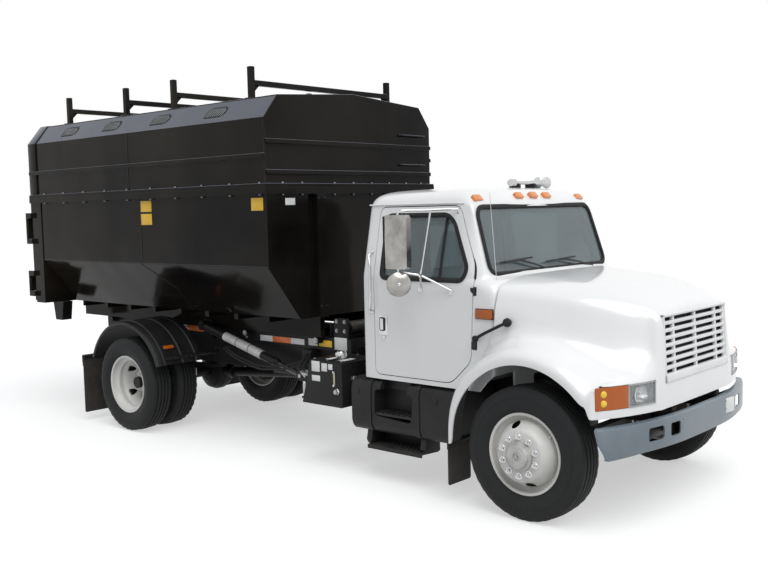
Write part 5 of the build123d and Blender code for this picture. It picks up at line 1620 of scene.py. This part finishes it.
for y in (-0.90, -0.84):
    tank.tube([(-2.415, y, 0.780), (-2.500, y, 0.790), (-2.540, y + 0.02, 0.800)], 0.018, 0.03, 1, 14)
    tank.turned([(-0.045, 0.024), (-0.012, 0.024), (-0.010, 0.020), (0.016, 0.020)], (-2.440, y, 0.782),
                "x", 1, 6)
    tank.tube([(-2.530, y + 0.02, 0.800), (-2.64, y + 0.06, 0.812), (-2.74, y + 0.20, 0.850),
               (-2.80, y + 0.34, 0.90)], 0.013, 0.06, 5, 12)
tank.tube([(-1.935, -0.86, 0.800), (-1.860, -0.86, 0.800), (-1.830, -0.80, 0.820),
           (-1.830, -0.62, 0.900)], 0.014, 0.05, 5, 12)
tank.turned([(-0.02, 0.026), (0.02, 0.026), (0.024, 0.020), (0.05, 0.020)], (-1.925, -0.86, 0.800), "x",
            1, 6)
for z in ((0.600, 0.640), (0.820, 0.850)):
    tank.block((-2.400, -1.945), (-0.60, -0.455), z, 0.005, 0)
tank.done("hydraulic_tank_set", "chassis", "chassis_black",
          [frame_black, bare_steel, chrome, patch_white, gauge_clear, rubber_black], ["hydraulic_tank"])

# Rear fenders: half-round shells of black moulded plastic with three raised ridges and a rolled
# outer edge, hung on tubes from the rails. Each has an amber lamp on its front slope.
fender_x = rear_axle_x
fender_z = 0.505
fender_from = 20.9
fender_to = 159.1
fender_skin = [(0.655, 0.625), (0.655, 0.643), (0.690, 0.645), (0.702, 0.655), (0.732, 0.655),
               (0.744, 0.645), (0.862, 0.645), (0.874, 0.656), (0.904, 0.656), (0.916, 0.645),
               (1.094, 0.645), (1.104, 0.655), (1.124, 0.655), (1.134, 0.645), (1.196, 0.644),
               (1.208, 0.638), (1.212, 0.626), (1.210, 0.606), (1.203, 0.606), (1.203, 0.630),
               (1.180, 0.636), (0.690, 0.636), (0.662, 0.634), (0.662, 0.625)]
arc_steps = 48
arcs = []
for step in range(arc_steps + 1):
    angle = radians(fender_from + (fender_to - fender_from) * step / arc_steps)
    arcs.append([(fender_x + radius * cos(angle), y, fender_z + radius * sin(angle)) for y,
                 radius in fender_skin])
rear_fenders = Shape()
rear_fenders.loft(arcs, caps=True)
for x in (-4.290, -5.470):
    rear_fenders.tube([(x, 0.430, 0.795), (x, 1.110, 0.795)], 0.017, slot=1)
    rear_fenders.block((x - 0.05, x + 0.05), (0.427, 0.436), (0.745, 0.845), 0.003, 1)
    way_in = 1 if x < fender_x else -1
    for y in (0.80, 1.00):
        rear_fenders.block(sorted((x, x - way_in * 0.035)), (y - 0.02, y + 0.02), (0.780, 0.812), 0.003, 1)
marker = Shape()
marker.prism(rounded_box((-0.060, 0.060), (-0.018, 0.018), 0.012, 3), "x",
             (0.0, 0.020), 0.004, 2)
marker.prism(rounded_box((-0.068, 0.068), (-0.024, 0.024), 0.010, 3), "x",
             (-0.010, 0.004), 0.002, 0)
marker_angle = radians(37)
marker_place = (fender_x + 0.650 * cos(marker_angle), 1.025, fender_z + 0.650 * sin(marker_angle))
rear_fenders.join(marker, tipped(marker_place, -marker_angle))
rear_fenders.both().done("rear_fender_shells", "chassis", "black_plastic",
                         [fairing_black, frame_black, amber], ["rear_fenders"])

# Mud flaps: rubber sheets hung from steel bars by a clamping strip and bolts; the tail lamps, two
# round red ones a side in a folded steel housing, stand on the rear bars.
flap_rubber = finish("flap_rubber", (0.010, 0.010, 0.010), (0.022, 0.021, 0.021), (0.6, 0.85),
                     patch=4.0, grain=120.0, depth=0.0008, dust=0.5, shine=0.25)
lens_red = glassy("lens_red", (0.42, 0.012, 0.010), 0.10, 0.2, lines=60.0)
flaps = Shape()
for x, y0, y1, low, high, bow in ((-5.665, 0.670, 1.205, 0.098, 0.715, 0.010),
                                  (-0.683, 0.862, 1.143, 0.142, 0.466, 0.004)):
    sheet = [(y0 + 0.012, low), (y1 - 0.012, low), (y1, low + 0.012), (y1, high), (y0, high),
             (y0, low + 0.012)]
    flaps.prism(sheet, "x", (x - 0.004, x + 0.004), 0.001, 0)
    strip = (high - 0.045, high)
    flaps.block((x - 0.010, x - 0.004), (y0, y1), strip, 0.001, 1)
    for number in range(4):
        y = y0 + 0.05 + (y1 - y0 - 0.10) * number / 3
        ring_of_bolts(flaps, [(x - 0.010, y, high - 0.022)], "x", 0.010, -0.006, 1)
flaps.block((-5.690, -5.650), (0.427, 1.205), (0.692, 0.728), 0.005, 1)
flaps.block((-0.694, -0.672), (0.427, 1.140), (0.452, 0.474), 0.003, 1)
flaps.block((-0.694, -0.672), (0.427, 0.468), (0.470, 0.560), 0.003, 1)
flaps.both().done("flap_set", "chassis", "rubber", [flap_rubber, frame_black], ["mud_flaps"])
tails = Shape()
tails.block((-5.725, -5.690), (0.900, 1.180), (0.602, 0.728), 0.006, 0, 3)
for y in (0.965, 1.100):
    tails.turned([(0, 0.052), (-0.004, 0.053), (-0.010, 0.050), (-0.013, 0.042), (-0.014, 0)],
                 (-5.724, y, 0.662), "x", 1, 32)
    tails.turned([(0, 0.057), (-0.006, 0.057), (-0.007, 0.053), (-0.007, 0)], (-5.722, y, 0.662), "x",
                 2, 32)
tails.prism(rounded_box((-5.722, -5.700), (0.640, 0.690), 0.004, 2), "y",
            (1.178, 1.184), 0.001, 1)
tails.both().done("tail_lamp_set", "chassis", "lamp_red", [frame_black, lens_red, rubber_black],
                  ["tail_lamps"])

# Tilting hoist: welded box beams, painted black, with greased rollers on pins; tape strips in
# white and orange and blank plates are stuck on its right beam.
dress(frame_black, "tilt_frame")
soften("tilt_frame", 0.004)
tape_white = finish("tape_white", (0.88, 0.89, 0.90), (0.95, 0.95, 0.95), (0.2, 0.35), patch=10.0,
                    grain=900.0, depth=0.0004)
tape_orange = finish("tape_orange", (0.92, 0.19, 0.045), (0.97, 0.24, 0.065), (0.2, 0.35), patch=10.0,
                     grain=900.0, depth=0.0004)
hoist_marks = Shape()
for x0, x1, z0, z1, slot in ((-3.587, -3.405, 0.962, 1.018, 0), (-3.403, -3.140, 0.962, 1.018, 1),
                             (-3.138, -2.950, 0.962, 1.018, 0), (-4.870, -4.785, 0.985, 1.043, 0),
                             (-4.783, -4.500, 0.985, 1.043, 1), (-2.892, -2.768, 0.966, 1.034, 2),
                             (-2.750, -2.578, 0.968, 1.028, 3)):
    hoist_marks.block((x0, x1), (-0.4512, -0.4498), (z0, z1), 0.0004, slot)
hoist_marks.block((-2.540, -2.380), (-0.4535, -0.4515), (0.952, 1.068), 0.0004, 2)
hoist_marks.turned([(0, 0.010), (0, 0.022), (-0.006, 0.024), (-0.012, 0.020), (-0.012, 0.012), (0, 0.010)],
                   (-3.801, -0.449, 0.995), "y", 4, 24)
for x in (-2.720, -3.740, -4.900):
    for way in (1, -1):
        roller_pin = [(0, 0.028), (0.006, 0.028), (0.007, 0.016), (0.016, 0.016), (0.018, 0.010),
                      (0.018, 0)]
        hoist_marks.turned(sided(roller_pin, way), (x, way * 0.5215, 1.0317), "y", 4, 20)
hoist_marks.done("hoist_marks", "hoist", "steel",
                 [tape_white, tape_orange, patch_white, patch_yellow, bare_steel])

# Winch: a drum of wound steel rope on its shaft between two thick plates bolted to the beams, with a
# cross plate ahead of it; its hydraulic motor and steel lines are not drawn.
rope_steel = finish("rope_steel", (0.022, 0.021, 0.019), (0.055, 0.052, 0.047), (0.4, 0.6), patch=20.0,
                    grain=900.0, depth=0.0010, metal=0.8)
winch = Shape()
plate = rounded_box((-2.545, -2.367), (0.945, 1.248), 0.020, 4)
for way in (1, -1):
    winch.prism(plate, "y", side_span(way, 0.4505, 0.430), 0.002, 0)
    bolt = [(0, 0), (0, 0.019), (0.003, 0.019), (0.003, 0.013), (0.013, 0.013), (0.015, 0.010), (0.015, 0)]
    for x in (-2.509, -2.407):
        for z in (1.218, 1.131):
            winch.turned(sided(bolt, way), (x, way * 0.4505, z), "y", 1, 12)
coils = []
coil_count = 46
drum_half = 0.36
drum_x = -2.455
drum_z = 1.150
for number in range(coil_count):
    middle = -drum_half + 2 * drum_half * (number + 0.5) / coil_count
    half_pitch = drum_half / coil_count
    for part, rise in ((-0.9, 0.0), (-0.5, 0.0045), (0.0, 0.0062), (0.5, 0.0045), (0.9, 0.0)):
        coils.append((middle + part * half_pitch, 0.0575 + rise))
winch.turned([(-drum_half, 0)] + coils + [(drum_half, 0)], (drum_x, 0, drum_z), "y", 2, 28)
for y in (-0.375, 0.365):
    winch.turned([(0, 0), (0, 0.069), (0.010, 0.069), (0.010, 0)], (drum_x, y, drum_z), "y", 0, 36)
winch.turned([(-0.44, 0), (-0.44, 0.040), (0.44, 0.040), (0.44, 0)], (drum_x, 0, drum_z), "y", 0, 24)
for y in (-0.415, -0.395, 0.395):
    winch.turned([(0, 0), (0, 0.060), (0.014, 0.060), (0.014, 0)], (drum_x, y, drum_z), "y", 0, 30)
winch.block((-2.625, -2.610), (-0.428, 0.428), (1.040, 1.188), 0.004, 0)
winch.done("winch_set", "hoist", "steel", [frame_black, bare_steel, rope_steel], ["winch"])

# Lift cylinders: honed steel barrels painted black with a wrapped blank label, gland nuts, and
# rods with forged eyes on pins. The eye of each rod turns on the chassis.
upper_pin = (-4.300, 1.085)
lower_pin = (-2.830, 0.700)
cylinder_y = 0.600
barrel_axis = Vector((lower_pin[0] - upper_pin[0], 0, lower_pin[1] - upper_pin[1]))
stroke = barrel_axis.length
barrel_axis.normalize()
axis_lean = atan2(-barrel_axis.z, barrel_axis.x)
label_grey = finish("label_grey", (0.60, 0.59, 0.57), (0.76, 0.75, 0.73), (0.3, 0.5), patch=12.0,
                    grain=200.0)
rod_steel = finish("rod_steel", (0.030, 0.030, 0.031), (0.060, 0.060, 0.060), (0.15, 0.3), patch=8.0,
                   grain=300.0, metal=0.6)


def on_lift(shape, profile, y, slot, count=28):
    """A profile of (distance from the upper pin, radius) turned round the cylinder's axis."""
    part = Shape()
    part.turned(profile, (0, 0, 0), "x", slot, count)
    shape.join(part, tipped((upper_pin[0], y, upper_pin[1]), axis_lean))


barrels = Shape()
rods = Shape()
for way in (1, -1):
    y = way * cylinder_y
    on_lift(barrels, [(0.040, 0), (0.040, 0.030), (0.055, 0.043), (1.080, 0.043), (1.085, 0.0435),
                      (1.090, 0.0438), (1.150, 0.0438), (1.160, 0.036), (1.189, 0.034), (1.190, 0.029)],
            y, 0)
    on_lift(barrels, [(0.360, 0.0435), (0.362, 0.0452), (0.938, 0.0452), (0.940, 0.0435)], y, 1)
    for along in (0.56, 0.75):
        on_lift(barrels, [(along, 0.0450), (along + 0.001, 0.0462), (along + 0.007, 0.0462),
                          (along + 0.008, 0.0450)], y, 0)
    barrels.turned([(-0.040, 0.026), (-0.040, 0.050), (0.040, 0.050), (0.040, 0.026), (-0.040, 0.026)],
                   (upper_pin[0], y, upper_pin[1]), "y", 0, 32)
    on_lift(rods, [(0.300, 0), (0.300, 0.0275), (stroke - 0.040, 0.0275), (stroke - 0.040, 0)], y, 0)
    rod_foot = (lower_pin[0], y, lower_pin[1])
    rods.turned([(-0.040, 0), (-0.040, 0.046), (-0.036, 0.048), (0.036, 0.048), (0.040, 0.046), (0.040, 0)],
                rod_foot, "y", 1, 32)
    rods.turned(sided([(0.040, 0.020), (0.046, 0.020), (0.048, 0.012), (0.048, 0)], way), rod_foot, "y",
                2, 16)
barrels.done("lift_barrel_set", "lift_barrels", "chassis_black", [frame_black, label_grey],
             ["lift_barrels"])
rods.done("lift_rod_set", "lift_rods", "steel", [rod_steel, frame_black, bare_steel], ["lift_rods"])

# Hydraulic lines: two bent steel tubes, clipped along the right rail from the tank to the lift
# cylinders.
lines = Shape()
for drop in (0.0, 0.030):
    lines.tube([(-2.780, -0.470, 0.880 - drop), (-2.900, -0.700, 0.800 - drop),
                (-3.326, -0.705, 0.755 - drop), (-3.700, -0.705, 0.840 - drop),
                (-3.860, -0.680, 0.900 - drop)], 0.009, 0.10, 0, 10)
lines.block((-3.345, -3.310), (-0.715, -0.430), (0.735, 0.747), 0.002, 0)
lines.block((-3.880, -3.840), (-0.700, -0.430), (0.880, 0.895), 0.002, 0)
lines.done("hydraulic_lines", "chassis", "rubber", [rubber_black])

# Container: a steel drop box with sloped lower sides and a bolted-on lid, glossy black enamel
# over sheet that is a little wavy from its welds. The solids stay; welded strips, bolts, louvred
# vents, rungs and blank enamel patches are added on them.
# The enamel's soft brownish colour patches are painted reflections of the surroundings in its gloss.
box_black_with_painted_reflection = finish("box_black_with_painted_reflection", (0.002, 0.002, 0.0025), (0.026, 0.021, 0.016), (0.07, 0.14), patch=0.62,
                   grain=240.0, depth=0.0001, ripple=0.012, shine=0.10)
vent_steel = finish("vent_steel", (0.20, 0.21, 0.22), (0.32, 0.33, 0.34), (0.3, 0.5), patch=8.0, metal=0.2)


def dust_and_painted_sky_sheen(surface, dust_and_sky_sheen_tint, amount):
    """Lays a pale blue layer on the faces of a finish that look up: partly dust, partly a painted
    reflection of the sky.
    """
    tree = surface.node_tree
    colour_in = tree.nodes["Principled BSDF"].inputs["Base Color"]
    painted = colour_in.links[0].from_socket
    split = add_node(tree, "SeparateXYZ")
    tree.links.new(add_node(tree, "NewGeometry").outputs["Normal"], split.inputs["Vector"])
    dust_and_sky_sheen_layer = layer(tree, stretched(tree, split.outputs["Z"], From_Min=0.35, From_Max=0.75, To_Max=amount),
                 dust_and_sky_sheen_tint)
    tree.links.new(painted, dust_and_sky_sheen_layer.inputs["A"])
    tree.links.new(dust_and_sky_sheen_layer.outputs["Result"], colour_in)


# Faces of the container that look up get a pale blue tint: partly dust, partly a painted reflection of the
# sky.
dust_and_painted_sky_sheen(box_black_with_painted_reflection, (0.185, 0.200, 0.245), 0.85)
box_nodes = ("container_body", "container_lid", "ladder_racks", "container_door_left",
             "container_door_right")
dress(box_black_with_painted_reflection, *box_nodes)
for name in box_nodes:
    soften(name, 0.005)
box_surfaces = [box_black_with_painted_reflection, vent_steel, patch_yellow, patch_white, black_screen_and_painted_shade]
box_parts = Shape()


box_half = 1.140
crease_z = 1.757
crease_slope = 0.380 / 0.495
box_front_x = -2.655
box_rear_x = -6.54


def lower_side(z):
    """The half width of the box's sloped lower side at a height."""
    return box_half - (crease_z - z) * crease_slope


def flange_bolt(x, y):
    """A bolt through the flanges of body and lid: its head above, its nut below."""
    for z, rise in ((2.500, 0.012), (2.405, -0.012)):
        ring_of_bolts(box_parts, [(x, y, z)], "z", 0.010, rise, 1)


for way in (1, -1):
    for number in range(10):
        flange_bolt(-6.39 + number * 0.408, way * 1.160)
    # Weld seams: a strip up the lid's side, one up the body and a slanted one on the lower side
    strip = ((-4.741, -4.727, 2.502, 3.070), (-4.566, -4.552, 1.76, 2.402))
    for x0, x1, low, high in strip:
        box_parts.block((x0, x1), sorted((way * 1.139, way * (1.149 if low > 2.4 else 1.1425))),
                        (low, high), 0.001, 0)
    seam = [(x, way * (lower_side(z) + 0.002), z) for x,
            z in ((-4.590, crease_z), (-4.250, 1.492), (-4.250, 1.275))]
    box_parts.tube(seam, 0.005, count=8)
    box_parts.tube([(box_front_x, way * box_half, crease_z), (-6.50, way * box_half, crease_z)], 0.004,
                   count=8)
    box_parts.tube([(-2.656, way * 1.139, crease_z), (-2.656, way * 0.762, 1.266)], 0.006, count=8)
    # A lip on the lower edge, and the ribs that show below it
    for x in (-3.62, -4.12):
        box_parts.prism([(way * 0.80, 1.318), (way * 0.835, 1.318), (way * 0.80, 1.285)], "x",
                        (x - 0.035, x + 0.035), 0.002, 0)
    # Rear frame: a rolled band that follows the lid's section
    ring = [(1.1465, 2.502), (1.1465, 3.074), (0.988, 3.277), (0.20, 3.333), (0.20, 3.340), (0.990, 3.286),
            (1.161, 3.078), (1.161, 2.502)]
    box_parts.prism([(way * y, z) for y, z in ring], "x", (-6.698, -6.540), 0.004, 0)
    # Corner edge of the lid's front, folded over, and its two long folds
    edge = [(box_front_x, way * y, z) for y, z in ((1.144, 2.505), (1.144, 3.074), (0.984, 3.275),
                                                   (0, 3.343))]
    box_parts.tube(edge, 0.007, count=8)
    for y, z, radius in ((0.984, 3.275, 0.006), (1.144, 3.074, 0.005)):
        box_parts.tube([(box_front_x, way * y, z), (box_rear_x, way * y, z)], radius, count=8)
    # Blank enamel patches
    for x0, x1, z0, z1 in ((-4.556, -4.369, 2.145, 2.255), (-4.556, -4.369, 2.275, 2.385),
                           (-2.858, -2.698, 2.262, 2.375)):
        box_parts.block((x0, x1), side_span(way, 1.139, 1.1415), (z0, z1), 0.001, 2)
    # Rack posts: a foot plate, a gusset under the cross tube, and a black plate of painted shade for the
    # open mouth of the tube
    foot = 3.276 + (3.345 - 3.276) * (1 - 0.932 / 0.985)
    for x in (-3.042, -4.208, -5.030, -6.142):
        box_parts.block((x - 0.050, x + 0.050), side_span(way, 0.885, 0.978),
                        (foot - 0.012, foot + 0.010), 0.003, 0)
        box_parts.prism([(way * 0.907, 3.402), (way * 0.907, 3.335), (way * 0.840, 3.402)], "x",
                        (x - 0.004, x + 0.004), 0.001, 0)
        # The black plate on the post's top is painted shade, standing for the tube's open mouth.
        box_parts.block((x - 0.020, x + 0.020), side_span(way, 0.912, 0.952), (3.558, 3.5715), 0, 4)
for y in (-0.96, -0.72, -0.30, -0.04, 0.22, 0.48, 0.74, 0.98):
    flange_bolt(-2.634, y)
for z in (2.985, 2.690, 2.085, 1.785):
    box_parts.tube([(-2.652, 0.675, z), (-2.606, 0.675, z), (-2.606, 1.020, z), (-2.652, 1.020, z)],
                   0.008, 0.015, 0, 10)
box_parts.block((-2.651, -2.6475), (-0.919, -0.800), (2.306, 2.369), 0.001, 3)
for side_y0 in (-0.52, 0.52):
    for z in (2.36, 1.36):
        ring_of_bolts(box_parts, [(-2.590, side_y0 - 0.038, z), (-2.590, side_y0 + 0.038, z)], "x",
                      0.012, 0.008)


def on_chamfer(middle_x, way):
    """Lays a flat piece on the lid's chamfer, round a middle along the box."""
    return lambda x, y, z: (middle_x + x, way * (1.0655 - 0.617 * y + 0.787 * z),
                            3.1755 + 0.787 * y + 0.617 * z)


# D-shaped louvred vents in the lid's chamfer: a flat black sheet of painted shade stands for the opening
# behind slanted blades
vent = Shape()
vent_line = [(-0.150, -0.062), (0.080, -0.062), (0.128, -0.045), (0.148, -0.012), (0.150, 0.030)]
vent_line += [(0.125, 0.062), (-0.085, 0.062), (-0.118, 0.045), (-0.138, 0.005)]
# The black D-shaped sheet is painted shade, standing for the vent's opening.
vent.prism(rounded_outline(vent_line, 0.02, 3), "z", (0, 0.003), 0, 4)
for number in range(8):
    x = -0.128 + number * 0.032
    blade = [(x, -0.050), (x + 0.009, -0.050), (x + 0.043, 0.050), (x + 0.034, 0.050)]
    if number == 7:
        blade = [(x, -0.050), (x + 0.010, -0.050), (x + 0.036, 0.020), (x + 0.024, 0.024)]
    vent.prism(blade, "z", (0.002, 0.0045), 0.001, 1)
for middle_x in (-3.391, -4.255, -5.105, -5.927):
    for way in (1, -1):
        box_parts.join(vent, on_chamfer(middle_x, way), flip=way > 0)
box_parts.done("container_fittings", "container", "container_black", box_surfaces)
